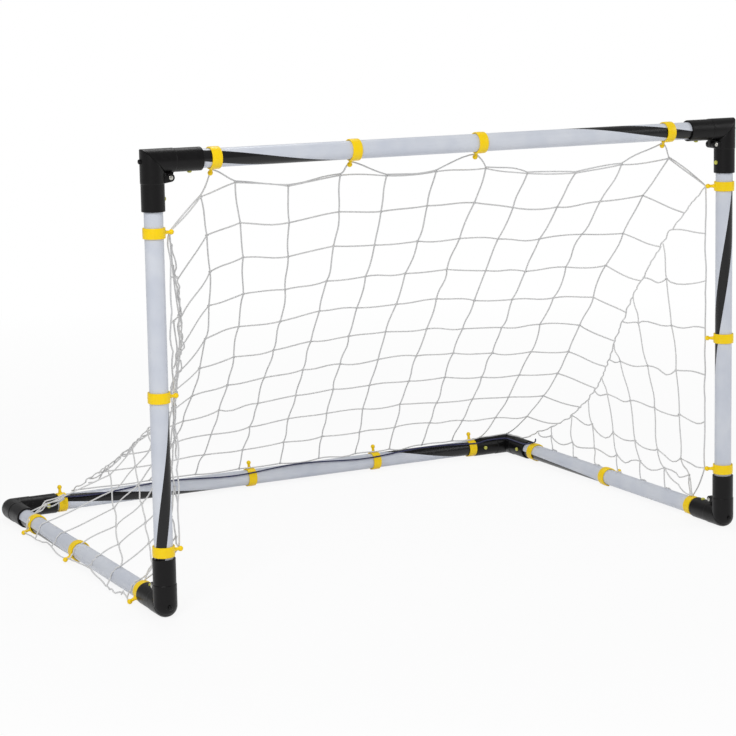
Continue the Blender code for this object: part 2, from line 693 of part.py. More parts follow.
def build():
    """The whole goal."""
    for obj in list(bpy.data.objects):
        bpy.data.objects.remove(obj)
    white = material("white_painted_steel", (0.80, 0.82, 0.86), 0.35)
    black = material("black_abs", (0.012, 0.011, 0.012), 0.45)
    yellow = material("yellow_polypropylene", (0.93, 0.62, 0.0), 0.4)
    button_green = material("yellow_green_acetal", (0.55, 0.55, 0.10), 0.4)
    zinc = material("zinc_plated_steel", (0.60, 0.60, 0.58), 0.3, 1.0)
    netting = material("white_polyethylene_twine", (0.55, 0.55, 0.55), 0.8)
    navy = material("navy_polypropylene_cord", (0.015, 0.020, 0.09), 0.7)

    front = add_empty("front_frame", (0, FRONT_Y + HINGE_OFFSET, GROUND_Z + HINGE_OFFSET))
    top_post = corner_half("top_post_socket", TOP_POST_SOCKET, False, True)
    top_bar = corner_half("top_bar_socket", TOP_BAR_SOCKET, False, False)
    bottom_post = corner_half("bottom_post_socket", BOTTOM_POST_SOCKET, True, True)
    bottom_side = corner_half("bottom_side_socket", SIDE_SOCKET, True, False, ground_flat=True)
    elbow = rear_elbow_mesh()
    pin = pin_mesh()
    latch = latch_mesh()
    button = snap_button_mesh()
    ring = ring_mesh()

    end = TUBE_STOP + FIT
    bar = tube_mesh("crossbar", GOAL_WIDTH - 2 * end, TOP_BAR_SOCKET - BUTTON_INSET - end,
                    TOP_BAR_SOCKET - BUTTON_INSET - end)
    rear = tube_mesh("rear_bar", GOAL_WIDTH - 2 * end, ELBOW_SOCKET - BUTTON_INSET - end,
                     ELBOW_SOCKET - BUTTON_INSET - end)

    top_left = Vector((LEFT_X, FRONT_Y, TOP_Z))
    bar_place = placed(top_left + X * end, X, -Z)
    add_object("crossbar", bar, white, bar_place, front)
    add_object("rear_bar", rear, white, placed(Vector((LEFT_X + end, REAR_Y, GROUND_Z)), X, -Y))

    for name, x, inward in (("left", LEFT_X, X), ("right", RIGHT_X, -X)):
        top = Vector((x, FRONT_Y, TOP_Z))
        bottom = Vector((x, FRONT_Y, GROUND_Z))
        back = Vector((x, REAR_Y, GROUND_Z))
        # A post's top button faces the other post, a quarter turn from its bottom button
        turn = math.copysign(math.radians(90.0), inward.x)
        post = tube_mesh(f"{name}_post", GOAL_HEIGHT - 2 * end, BOTTOM_POST_SOCKET - BUTTON_INSET - end,
                         TOP_POST_SOCKET - BUTTON_INSET - end, -turn)
        add_object(f"{name}_post", post, white, placed(bottom + Z * end, Z, Y), front)
        side_tube = tube_mesh(f"{name}_side_tube", GOAL_DEPTH - 2 * end, SIDE_SOCKET - BUTTON_INSET - end,
                              ELBOW_SOCKET - BUTTON_INSET - end, turn)
        add_object(f"{name}_side_tube", side_tube, white, placed(bottom + Y * end, Y, Z))
        add_object(f"top_{name}_post_socket", top_post, black, placed(top, -Z, inward), front)
        add_object(f"top_{name}_bar_socket", top_bar, black, placed(top, inward, -Z), front)
        add_object(f"bottom_{name}_post_socket", bottom_post, black, placed(bottom, Z, Y), front)
        add_object(f"bottom_{name}_side_socket", bottom_side, black, placed(bottom, Y, Z))
        add_object(f"rear_{name}_elbow", elbow, black, placed(back, -Y, inward))
        top_hinge = top + (inward - Z) * HINGE_OFFSET
        bottom_hinge = bottom + (Y + Z) * HINGE_OFFSET
        add_object(f"hinge_pin_top_{name}", pin, zinc, placed(top_hinge, Y, X), front)
        add_object(f"hinge_pin_bottom_{name}", pin, zinc, placed(bottom_hinge, X, Y))
        add_object(f"latch_button_top_{name}", latch, black, placed(top, -inward, Y), front)
        add_object(f"latch_button_bottom_{name}", latch, black, placed(bottom, -Y, X), front)
        for label, corner, along, toward, reach, parent in (
            (f"crossbar_{name}", top, inward, -Z, TOP_BAR_SOCKET, front),
            (f"{name}_post_top", top, -Z, inward, TOP_POST_SOCKET, front),
            (f"{name}_post_bottom", bottom, Z, Y, BOTTOM_POST_SOCKET, front),
            (f"{name}_side_front", bottom, Y, Z, SIDE_SOCKET, None),
            (f"{name}_side_rear", back, -Y, inward, ELBOW_SOCKET, None),
            (f"rear_bar_{name}", back, inward, -Y, ELBOW_SOCKET, None),
        ):
            at = corner + along * (reach - BUTTON_INSET)
            add_object(f"snap_button_{label}", button, button_green, placed(at, along, toward), parent)

    add_rings(ring, yellow, front)
    add_object("net", net_mesh(), netting)
    add_cord(navy)


def add_rings(ring, look, front):
    """Clip-on rings, each with its lug towards the net's edge and its slot behind or below."""
    def slanted(first, second, degrees):
        angle = math.radians(degrees)
        return first * math.cos(angle) + second * math.sin(angle)

    for i, x in enumerate(CROSSBAR_RINGS, 1):
        place = placed(Vector((x, FRONT_Y, TOP_Z)), X, slanted(-Z, Y, CROSSBAR_LUG_SLANT))
        add_object(f"net_ring_crossbar_{i}", ring, look, place, front)
    for name, x, inward, along, heights, slant in (
            ("left", LEFT_X, X, Z, LEFT_POST_RINGS, LEFT_LUG_SLANT),
            ("right", RIGHT_X, -X, -Z, RIGHT_POST_RINGS, RIGHT_LUG_SLANT)):
        for i, height in enumerate(heights, 1):
            place = placed(Vector((x, FRONT_Y, GROUND_Z + height)), along, slanted(inward, Y, slant))
            add_object(f"net_ring_{name}_post_{i}", ring, look, place, front)
    for name, x, outward, along, depths, middle_slant in (
            ("left", LEFT_X, -X, -Y, LEFT_SIDE_RINGS, GROUND_LUG_SLANT),
            ("right", RIGHT_X, X, Y, RIGHT_SIDE_RINGS, RAISED_LUG_SLANT)):
        for i, depth in enumerate(depths, 1):
            slant = middle_slant if i == 2 else GROUND_LUG_SLANT
            place = placed(Vector((x, FRONT_Y + depth, GROUND_Z)), along, slanted(outward, -Z, slant))
            add_object(f"net_ring_{name}_side_{i}", ring, look, place)
    for i, x in enumerate(REAR_RINGS, 1):
        place = placed(Vector((x, REAR_Y, GROUND_Z)), -X, slanted(Z, Y, REAR_LUG_SLANT))
        add_object(f"net_ring_rear_bar_{i}", ring, look, place)


build()
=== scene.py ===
"""Looks of the folding soccer goal: painted tubes, moulded corners, net rings, net and lacing cord.

Every piece is made in the frame's own metres: X along the crossbar, the mouth towards -Y, ground at
z = 0. Surfaces are grids of points worked out with numpy.
"""

import math

import bpy
import numpy as np
from mathutils import Matrix


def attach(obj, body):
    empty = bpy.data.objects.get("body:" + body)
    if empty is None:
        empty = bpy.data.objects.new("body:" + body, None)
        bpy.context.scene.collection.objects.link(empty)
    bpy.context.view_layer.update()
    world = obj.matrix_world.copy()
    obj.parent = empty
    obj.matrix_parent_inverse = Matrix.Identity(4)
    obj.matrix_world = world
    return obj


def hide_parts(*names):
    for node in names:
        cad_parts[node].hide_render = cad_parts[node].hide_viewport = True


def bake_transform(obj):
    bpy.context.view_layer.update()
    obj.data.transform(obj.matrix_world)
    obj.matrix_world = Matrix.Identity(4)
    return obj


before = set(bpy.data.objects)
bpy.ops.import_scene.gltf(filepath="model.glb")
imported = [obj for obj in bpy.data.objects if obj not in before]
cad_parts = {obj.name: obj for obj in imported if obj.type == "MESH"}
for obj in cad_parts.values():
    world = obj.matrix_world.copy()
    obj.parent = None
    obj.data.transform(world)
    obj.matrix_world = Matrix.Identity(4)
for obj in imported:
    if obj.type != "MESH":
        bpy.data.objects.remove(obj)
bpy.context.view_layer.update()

MM = 0.001
X = np.array([1.0, 0.0, 0.0])
Y = np.array([0.0, 1.0, 0.0])
Z = np.array([0.0, 0.0, 1.0])

# Camera of the photograph: its place, the way it faces, its lens and its shift off the middle, worked
# out by least squares from the goal's six corners
CAMERA_PLACE = (-1.9252, -3.7183, 1.0557)
CAMERA_AZIMUTH = 28.43
CAMERA_ELEVATION = 7.71
CAMERA_ROLL = -0.89
CAMERA_LENS = 106.7
CAMERA_SHIFT = (-0.040, -0.126)

# Frame between tube axes, and its tubes
GOAL_WIDTH = 1.160
GOAL_HEIGHT = 0.748
GOAL_DEPTH = 0.795
TUBE_RADIUS = 16.0 * MM
TUBE_WALL = 1.2 * MM
FIT = 0.3 * MM
LEFT_X = -GOAL_WIDTH / 2
RIGHT_X = GOAL_WIDTH / 2
FRONT_Y = -0.3955
REAR_Y = FRONT_Y + GOAL_DEPTH
GROUND_Z = 20.0 * MM
TOP_Z = GROUND_Z + GOAL_HEIGHT

# Moulded corners
BODY_RADIUS = 20.5 * MM
SOCKET_RADIUS = 19.8 * MM
SOCKET_STEP = 37.0 * MM
TUBE_STOP = 36.0 * MM
BORE_RADIUS = TUBE_RADIUS + FIT
CHAMBER_RADIUS = 14.5 * MM
TOP_POST_SOCKET = 83.0 * MM
TOP_BAR_SOCKET = 86.0 * MM
BOTTOM_POST_SOCKET = 81.0 * MM
SIDE_SOCKET = 83.0 * MM
ELBOW_SOCKET = 90.0 * MM
HINGE_OFFSET = 28.0 * MM
KNUCKLE_RADIUS = 7.0 * MM
KNUCKLE_SPAN = 24.0 * MM
MIDDLE_KNUCKLE = 8.0 * MM
LATCH_RADIUS = 4.0 * MM
LATCH_PROUD = 4.0 * MM
BUTTON_INSET = 20.0 * MM
BUTTON_RADIUS = 4.0 * MM
BUTTON_PROUD = 3.0 * MM

# Clip-on rings
RING_FIT = 0.5 * MM
RING_RADIUS = TUBE_RADIUS + RING_FIT
RING_OUTER = RING_RADIUS + 2.5 * MM
RING_WIDTH = 18.0 * MM
LUG_RADIUS = 2.8 * MM
LUG_BALL_RADIUS = 4.6 * MM
LUG_REACH = 30.5 * MM
RING_START = 108.0
RING_TURN = 324.0
RING_END_GAP = 0.5 * MM
CROSSBAR_LUG_SLANT = 30.0
RIGHT_LUG_SLANT = 30.0
GROUND_LUG_SLANT = 25.0
RAISED_LUG_SLANT = -15.0
REAR_LUG_SLANT = 10.0


# Shapes: a dictionary of vertices, quads, triangles and the UVs of their corners

def skins(points, rows_close=False, columns_close=True, caps=True, lengths=None):
    """Vertices and faces of many grids at once.

    `points` is (grids, rows, columns, 3), and each cell between neighbouring points is a quad.
    Columns join round into a tube if `columns_close`, rows into a loop if `rows_close`, and `caps`
    closes the first and last row with a fan. U runs 0 to 1 round a row, and V is the row's number
    or its distance in `lengths`.
    """
    points = np.asarray(points, float)
    if points.ndim == 3:
        points = points[None]
    grids, rows, columns, _ = points.shape
    index = np.arange(grids * rows * columns).reshape(grids, rows, columns)
    if lengths is None:
        lengths = np.broadcast_to(np.arange(rows, dtype=float), (grids, rows))
    level = np.asarray(lengths)
    here = index if rows_close else index[:, :-1]
    there = np.roll(index, -1, axis=1) if rows_close else index[:, 1:]
    low = level if rows_close else level[:, :-1]
    high = np.roll(level, -1, axis=1) if rows_close else level[:, 1:]
    if columns_close:
        corners = (here, np.roll(here, -1, axis=2), np.roll(there, -1, axis=2), there)
    else:
        corners = (here[..., :-1], here[..., 1:], there[..., 1:], there[..., :-1])
    quads = np.stack([corner.reshape(-1) for corner in corners], axis=1)
    across = corners[0].shape[2]
    u = np.broadcast_to(np.arange(across) / across, corners[0].shape).reshape(-1)
    v0 = np.broadcast_to(low[..., None], corners[0].shape).reshape(-1)
    v1 = np.broadcast_to(high[..., None], corners[0].shape).reshape(-1)
    step = 1.0 / across
    pairs = ((u, v0), (u + step, v0), (u + step, v1), (u, v1))
    quad_uv = np.stack([np.stack(pair, 1) for pair in pairs], axis=1)
    vertices = points.reshape(-1, 3)
    triangles = np.zeros((0, 3), int)
    if caps and not rows_close:
        for row, flip in ((0, True), (rows - 1, False)):
            edge = index[:, row]
            following = np.roll(edge, -1, axis=1)
            pole = np.broadcast_to((len(vertices) + np.arange(grids))[:, None], edge.shape)
            vertices = np.concatenate([vertices, points[:, row].mean(axis=1)])
            order = (following, edge, pole) if flip else (edge, following, pole)
            triangles = np.concatenate([triangles, np.stack([part.reshape(-1) for part in order], axis=1)])
    return {"vertices": vertices, "quads": quads, "triangles": triangles,
            "quad_uv": quad_uv, "triangle_uv": np.zeros((len(triangles), 3, 2))}


def joined(shapes):
    """One shape from a list of them."""
    offsets = np.cumsum([0] + [len(shape["vertices"]) for shape in shapes])
    result = {}
    for key in ("vertices", "quads", "triangles", "quad_uv", "triangle_uv"):
        shift = offsets if key in ("quads", "triangles") else offsets * 0
        result[key] = np.concatenate([shape[key] + by for shape, by in zip(shapes, shift)])
    return result


def moved(shape, matrix):
    """Shape carried by a 4 x 4 matrix."""
    return {**shape, "vertices": shape["vertices"] @ matrix[:3, :3].T + matrix[:3, 3]}


def placed(origin, along, toward):
    """Matrix with local +Z on `along`, local +X on `toward` and its origin at `origin`."""
    matrix = np.eye(4)
    matrix[:3, :3] = np.stack([toward, np.cross(along, toward), along], axis=1)
    matrix[:3, 3] = origin
    return matrix


def unit(vectors):
    """Vectors at length one."""
    return vectors / np.maximum(np.linalg.norm(vectors, axis=-1, keepdims=True), 1e-12)


def rounded(outline, cut, steps=4, loop=False):
    """Outline with each corner replaced by a short curve from `cut` before it to `cut` after it.

    With t from 0 to 1 a point is (1-t)^2 of the leaving point, 2t(1-t) of the corner and t^2 of the
    joining point. The ends stay sharp, unless the outline is a loop.
    """
    outline = np.asarray(outline, float)
    before = np.roll(outline, 1, axis=0) - outline
    after = np.roll(outline, -1, axis=0) - outline
    start = outline + before * np.minimum(0.49, cut / np.linalg.norm(before, axis=1))[:, None]
    end = outline + after * np.minimum(0.49, cut / np.linalg.norm(after, axis=1))[:, None]
    t = np.linspace(0, 1, steps + 1)[None, :, None]
    curve = (1 - t) ** 2 * start[:, None] + 2 * t * (1 - t) * outline[:, None] + t ** 2 * end[:, None]
    if loop:
        return curve.reshape(-1, outline.shape[1])
    return np.concatenate([outline[:1], curve[1:-1].reshape(-1, outline.shape[1]), outline[-1:]])


def turned(outline, columns=48, closed=False):
    """Surface of an outline of (radius, height) points turned about local Z.

    A point is (r cos a, r sin a, h). The outline's two ends are capped, or meet if `closed`.
    """
    outline = np.asarray(outline, float)
    angle = np.arange(columns) * 2 * np.pi / columns
    height = np.broadcast_to(outline[:, 1:], (len(outline), columns))
    grid = np.stack([outline[:, :1] * np.cos(angle), outline[:, :1] * np.sin(angle), height], axis=-1)
    return skins(grid, rows_close=closed)


def plate(outline, low, high, edge):
    """Plate with its outline in local XZ, carried along Y, its edges rounded by quarter circles.

    At an angle p of the quarter circle the outline is drawn in by edge (1 - cos p), and its height
    is edge (1 - sin p) from the plate's face.
    """
    outline = np.asarray(outline, float)
    along = unit(np.roll(outline, -1, axis=0) - np.roll(outline, 1, axis=0))
    area = np.sum(outline[:, 0] * np.roll(outline[:, 1], -1) - outline[:, 1] * np.roll(outline[:, 0], -1))
    outward = np.stack([along[:, 1], -along[:, 0]], axis=1) * np.sign(area)
    turn = np.radians((90.0, 60.0, 30.0, 0.0, 0.0, 30.0, 60.0, 90.0))
    inset = edge * (1 - np.cos(turn))
    lift = edge * (1 - np.sin(turn))
    height = np.concatenate([low + lift[:4], high - lift[4:]])
    flat = outline[None] - outward[None] * inset[:, None, None]
    grid = np.stack([flat[..., 0], np.broadcast_to(height[:, None], flat.shape[:2]), flat[..., 1]], axis=-1)
    return skins(grid if area < 0 else grid[:, ::-1])


def swept(paths, radius, columns):
    """Round bars along many paths at once, with their true length in V.

    `paths` is (bars, stations, 3). A point is path + radius (n cos a + b sin a), with n and b square
    to the path's direction.
    """
    paths = np.asarray(paths, float)
    if paths.ndim == 2:
        paths = paths[None]
    direction = unit(np.gradient(paths, axis=1))
    spread = np.abs(paths[:, -1] - paths[:, 0])
    helper = np.eye(3)[np.argmin(spread, axis=1)][:, None, :]
    n = unit(np.cross(direction, helper))
    b = np.cross(direction, n)
    angle = np.arange(columns) * 2 * np.pi / columns
    size = np.broadcast_to(np.asarray(radius, float), paths.shape[:2])[..., None, None]
    circle = n[:, :, None] * np.cos(angle)[:, None] + b[:, :, None] * np.sin(angle)[:, None]
    pieces = np.linalg.norm(np.diff(paths, axis=1), axis=2)
    lengths = np.concatenate([np.zeros((len(paths), 1)), np.cumsum(pieces, axis=1)], axis=1)
    return skins(paths[:, :, None] + size * circle, lengths=lengths)


def curve_through(points, steps):
    """Catmull-Rom curve through points, with `steps` stations from each to the next."""
    points = np.asarray(points, float)
    ends = np.vstack([2 * points[0] - points[1], points, 2 * points[-1] - points[-2]])
    a, b, c, d = (ends[i:len(ends) - 3 + i][:, None] for i in range(4))
    t = (np.arange(steps) / steps)[None, :, None]
    curve = 0.5 * (
        2 * b + (c - a) * t + (2 * a - 5 * b + 4 * c - d) * t ** 2 + (3 * b - a - 3 * c + d) * t ** 3)
    return np.vstack([curve.reshape(-1, 3), points[-1]])


def add_piece(name, shape, material, body=None, nodes=(), attributes=None, sharp=35.0):
    """Object from a shape, smooth where its faces meet at less than `sharp` degrees."""
    mesh = bpy.data.meshes.new(name)
    mesh.from_pydata(shape["vertices"].tolist(), [], shape["quads"].tolist() + shape["triangles"].tolist())
    uv = np.concatenate([shape["quad_uv"].reshape(-1, 2), shape["triangle_uv"].reshape(-1, 2)])
    mesh.uv_layers.new(name="UVMap").data.foreach_set("uv", uv.astype(np.float32).ravel())
    for key, values in (attributes or {}).items():
        mesh.attributes.new(key, "FLOAT", "POINT").data.foreach_set("value", np.asarray(values, np.float32))
    mesh.materials.append(material)
    mesh.shade_smooth()
    mesh.set_sharp_from_angle(angle=math.radians(sharp))
    obj = bpy.data.objects.new(name, mesh)
    bpy.context.collection.objects.link(obj)
    if body:
        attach(obj, body)
    if nodes:
        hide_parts(*nodes)
    return obj


# Materials

def linear(code):
    """Shader colour from an sRGB hex code."""
    parts = [int(code[i:i + 2], 16) / 255 for i in (1, 3, 5)]
    return (*[c / 12.92 if c <= 0.04045 else ((c + 0.055) / 1.055) ** 2.4 for c in parts], 1.0)


def add_node(tree, kind, inputs=None, **settings):
    """Node with its settings, and its inputs set to values or linked from other nodes' outputs."""
    node = tree.nodes.new(kind)
    for key, value in settings.items():
        setattr(node, key, value)
    for key, value in (inputs or {}).items():
        if isinstance(value, bpy.types.NodeSocket):
            tree.links.new(value, node.inputs[key])
        else:
            node.inputs[key].default_value = value
    return node


def new_material(name, **values):
    """Material, its node tree and its Principled shader, with the given values on the shader."""
    material = bpy.data.materials.new(name)
    material.use_nodes = True
    tree = material.node_tree
    shader = tree.nodes["Principled BSDF"]
    for key, value in values.items():
        shader.inputs[key.replace("_", " ")].default_value = value
    return material, tree, shader


def blended(tree, factor, first, second):
    """Colour from `first` to `second` by a factor."""
    return add_node(tree, "ShaderNodeMix", {0: factor, 6: first, 7: second}, data_type="RGBA").outputs[2]


def noise(tree, place, size, detail=3.0, roughness=0.55):
    """Noise from 0 to 1 with lumps about `size` metres across."""
    return add_node(tree, "ShaderNodeTexNoise", {
        "Vector": place, "Scale": 1.0 / size, "Detail": detail, "Roughness": roughness}).outputs[0]


def ranged(tree, value, low, high, to_low, to_high):
    """Value mapped from low..high to to_low..to_high, held at both ends."""
    return add_node(tree, "ShaderNodeMapRange", {
        "Value": value, "From Min": low, "From Max": high, "To Min": to_low, "To Max": to_high}).outputs[0]


def bumped(tree, shader, height, depth, under=None):
    """Bump of `depth` metres on the shader from a height of 0 to 1, over an earlier bump if given."""
    inputs = {"Height": height, "Strength": 1.0, "Distance": depth}
    if under is not None:
        inputs["Normal"] = under
    bump = add_node(tree, "ShaderNodeBump", inputs)
    tree.links.new(bump.outputs["Normal"], shader.inputs["Normal"])
    return bump.outputs["Normal"]


def enamelled_tube_material():
    """Steel tube with white baked enamel and a black film stripe wound round it.

    Enamel over drawn tube gives a satin, slightly cool white with a shallow orange peel of about
    3 mm. The film is thin, crisp at its edge and a little glossier. The stripe follows the piece's
    own `stripe` attribute, the distance in millimetres inside the film's edge.
    """
    material, tree, shader = new_material("white_enamelled_steel_tube", IOR=1.5, Specular_IOR_Level=0.4)
    place = add_node(tree, "ShaderNodeTexCoord").outputs["Object"]
    stripe = add_node(tree, "ShaderNodeAttribute", attribute_name="stripe").outputs["Fac"]
    inside = ranged(tree, stripe, -0.1, 0.1, 0.0, 1.0)
    tint = ranged(tree, noise(tree, place, 60 * MM, 2.0), 0.35, 0.65, 0.0, 1.0)
    white = blended(tree, tint, linear("#CBD0DB"), linear("#D6DAE2"))
    handled = ranged(tree, noise(tree, place, 14 * MM, 5.0, 0.7), 0.66, 0.78, 0.0, 0.35)
    white = blended(tree, handled, white, linear("#BDC1CA"))
    black = blended(tree, handled, linear("#0F0F11"), linear("#202023"))
    tree.links.new(blended(tree, inside, white, black), shader.inputs["Base Color"])
    rough = ranged(tree, noise(tree, place, 9 * MM, 4.0), 0.3, 0.7, 0.27, 0.40)
    film_rough = ranged(tree, noise(tree, place, 5 * MM, 4.0), 0.3, 0.7, 0.20, 0.34)
    both = add_node(tree, "ShaderNodeMix", {0: inside, 2: rough, 3: film_rough}, data_type="FLOAT")
    tree.links.new(both.outputs[0], shader.inputs["Roughness"])
    peel = bumped(tree, shader, noise(tree, place, 3 * MM, 1.0), 0.02 * MM)
    bumped(tree, shader, inside, 0.08 * MM, peel)
    return material


def moulded_material(name, base, worn, rough, grain, depth, subsurface=0.0, specular=0.5):
    """Injection-moulded plastic: one even colour with fine spark-eroded grain and faint rub marks.

    `grain` is the grain's width and `depth` its height in millimetres. The real grain is about
    0.1 mm wide, so it is drawn coarser to show.
    """
    material, tree, shader = new_material(name, IOR=1.5, Specular_IOR_Level=specular)
    place = add_node(tree, "ShaderNodeTexCoord").outputs["Object"]
    rub = ranged(tree, noise(tree, place, 25 * MM, 6.0, 0.65), 0.55, 0.75, 0.0, 0.6)
    tree.links.new(blended(tree, rub, linear(base), linear(worn)), shader.inputs["Base Color"])
    cloud = ranged(tree, noise(tree, place, 7 * MM, 4.0), 0.3, 0.7, rough - 0.06, rough + 0.08)
    tree.links.new(cloud, shader.inputs["Roughness"])
    bumped(tree, shader, noise(tree, place, grain * MM, 2.0, 0.7), depth * MM)
    if subsurface:
        shader.inputs["Subsurface Weight"].default_value = subsurface
        shader.inputs["Subsurface Scale"].default_value = 1.5 * MM
    return material


def zinc_material():
    """Zinc-plated steel: a bright, slightly yellow-grey metal with a fine crystalline bloom."""
    material, tree, shader = new_material("zinc_plated_steel", Metallic=1.0)
    place = add_node(tree, "ShaderNodeTexCoord").outputs["Object"]
    bloom = noise(tree, place, 1.2 * MM, 3.0)
    tree.links.new(blended(tree, bloom, linear("#A9A8A2"), linear("#D6D5CE")), shader.inputs["Base Color"])
    tree.links.new(ranged(tree, bloom, 0.3, 0.7, 0.22, 0.42), shader.inputs["Roughness"])
    bumped(tree, shader, bloom, 0.01 * MM)
    return material


def cord_material(name, light, groove_shade_and_soil, plies, lay, depth):
    """Laid or braided cord of matt filaments.

    The piece's UV map runs 0 to 1 round the cord and in metres along it. A wave of `plies` ridges
    round the cord, leaning one turn in `lay` millimetres, raises the plies and paints shade into the
    grooves between them with the darker colour.
    """
    material, tree, shader = new_material(name, IOR=1.49, Roughness=0.72)
    parts = add_node(tree, "ShaderNodeSeparateXYZ", {
        "Vector": add_node(tree, "ShaderNodeUVMap", uv_map="UVMap").outputs["UV"]})
    turns = add_node(tree, "ShaderNodeMath", {
        0: parts.outputs["Y"], 1: 1.0 / (lay * MM), 2: parts.outputs["X"]}, operation="MULTIPLY_ADD")
    phase = add_node(tree, "ShaderNodeMath", {
        0: turns.outputs[0], 1: plies * 2 * math.pi}, operation="MULTIPLY")
    wave = add_node(tree, "ShaderNodeMath", {0: phase.outputs[0]}, operation="SINE")
    ply_rise_and_shade = ranged(tree, wave.outputs[0], -1.0, 0.6, 0.0, 1.0)
    place = add_node(tree, "ShaderNodeTexCoord").outputs["Object"]
    soil = ranged(tree, noise(tree, place, 45 * MM, 3.0), 0.4, 0.7, 0.0, 0.35)
    # Painted shade: the grooves between the plies take the darker colour, and the soil noise also blends
    # towards it.
    tree.links.new(
        blended(tree, soil, blended(tree, ply_rise_and_shade, linear(groove_shade_and_soil), linear(light)), linear(groove_shade_and_soil)),
        shader.inputs["Base Color"])
    shader.inputs["Sheen Weight"].default_value = 0.15
    fuzz = bumped(tree, shader, noise(tree, place, 0.5 * MM, 2.0), 0.05 * MM)
    bumped(tree, shader, ply_rise_and_shade, depth * MM, fuzz)
    return material


WHITE_ENAMEL = enamelled_tube_material()
BLACK_ABS = moulded_material("black_moulded_abs", "#0C0B0C", "#141315", 0.36, 0.6, 0.02, specular=0.22)
YELLOW_PLASTIC = moulded_material(
    "yellow_moulded_polypropylene", "#FFD800", "#F4CB00", 0.36, 0.8, 0.02, 0.04, 0.35)
BUTTON_PLASTIC = moulded_material("yellow_green_moulded_acetal", "#C3C257", "#AEAD48", 0.34, 0.5, 0.02)
ZINC = zinc_material()
NET_TWINE = cord_material("white_laid_polyethylene_twine", "#F2F2F0", "#CDCDCF", 3, 5.0, 0.25)
NAVY_BRAID = cord_material("navy_braided_polypropylene_cord", "#262B66", "#10132F", 8, 7.0, 0.22)


# Tubes, with the film stripe as a distance from its edge

OUTSIDE_FILM = -50.0
TUBE_STATIONS = 320
TUBE_COLUMNS = 96


def stripe_inside(angle, along, bands):
    """Distance inside the film's edge in millimetres, at `angle` degrees round and `along` metres.

    A band is (start, end, angle at the tube's own start, twist, half width, taper at its start,
    taper at its end). Its middle line is at angle + twist x along. Its half width grows and
    shrinks as the square root of the distance from its ends over the taper.
    """
    arc = math.radians(1.0) * TUBE_RADIUS / MM
    inside = np.full(np.broadcast(angle, along).shape, OUTSIDE_FILM)
    for start, end, at, twist, half, taper_in, taper_out in bands:
        turn = np.abs((angle - at - twist * along + 180.0) % 360.0 - 180.0)
        reach = np.clip((along - start) / taper_in, 0, 1) * np.clip((end - along) / taper_out, 0, 1)
        distance = (half * np.sqrt(reach) - turn) * arc - 0.3
        inside = np.maximum(inside, distance)
    return inside


def add_tube(node, body, start, along, toward, length, bands):
    """Painted tube in the place of its CAD node: outer wall, rolled edges and inner wall in one grid."""
    inner = TUBE_RADIUS - TUBE_WALL
    lip = 0.4 * MM
    height = np.linspace(lip, length - lip, TUBE_STATIONS)
    wall = np.stack([np.full(TUBE_STATIONS, TUBE_RADIUS), height], axis=1)
    outline = np.concatenate([wall, [
        (TUBE_RADIUS - lip, length), (inner + lip, length), (inner, length - lip),
        (inner, lip), (inner + lip, 0.0), (TUBE_RADIUS - lip, 0.0)]])
    angle = np.arange(TUBE_COLUMNS)[None] * 360.0 / TUBE_COLUMNS
    stripe = stripe_inside(angle, outline[:, 1:], bands)
    stripe[TUBE_STATIONS:] = OUTSIDE_FILM
    shape = moved(turned(outline, TUBE_COLUMNS, closed=True), placed(start, along, toward))
    add_piece(f"painted_{node}", shape, WHITE_ENAMEL, body, [node],
              {"stripe": stripe.ravel()})


END = TUBE_STOP + FIT
POST_LENGTH = GOAL_HEIGHT - 2 * END
BAR_LENGTH = GOAL_WIDTH - 2 * END
SIDE_LENGTH = GOAL_DEPTH - 2 * END
LEFT_FOOT = np.array([LEFT_X, FRONT_Y, GROUND_Z])
RIGHT_FOOT = np.array([RIGHT_X, FRONT_Y, GROUND_Z])
TOP_LEFT = np.array([LEFT_X, FRONT_Y, TOP_Z])
REAR_LEFT = np.array([LEFT_X, REAR_Y, GROUND_Z])

# Angles run from the front of an upright or cross tube, and from the left of a side tube
add_tube("left_post", "front_frame", LEFT_FOOT + Z * END, Z, -Y, POST_LENGTH, [
    (-0.1, 0.47, -74.0, 541.0, 36.0, 0.05, 0.10)])
add_tube("right_post", "front_frame", RIGHT_FOOT + Z * END, Z, -Y, POST_LENGTH, [
    (-0.1, 0.80, 70.0, 587.0, 36.0, 0.05, 0.05)])
add_tube("crossbar", "front_frame", TOP_LEFT + X * END, X, -Y, BAR_LENGTH, [
    (-0.1, 0.50, -52.0, 530.0, 40.0, 0.05, 0.10),
    (0.66, 1.20, 172.0, 560.0, 36.0, 0.06, 0.05)])
add_tube("rear_bar", "base", REAR_LEFT + X * END, X, -Y, BAR_LENGTH, [
    (-0.1, 0.46, -80.0, 430.0, 36.0, 0.05, 0.08),
    (0.80, 1.30, -125.6, 482.0, 70.0, 0.22, 0.05)])
add_tube("left_side_tube", "base", LEFT_FOOT + Y * END, Y, -X, SIDE_LENGTH, [
    (0.42, 1.20, -49.0, 20.0, 36.0, 0.22, 0.05)])
add_tube("right_side_tube", "base", RIGHT_FOOT + Y * END, Y, -X, SIDE_LENGTH, [
    (0.38, 1.20, -50.0, 20.0, 36.0, 0.30, 0.05)])


# Moulded corners

CORNER_COLUMNS = 96


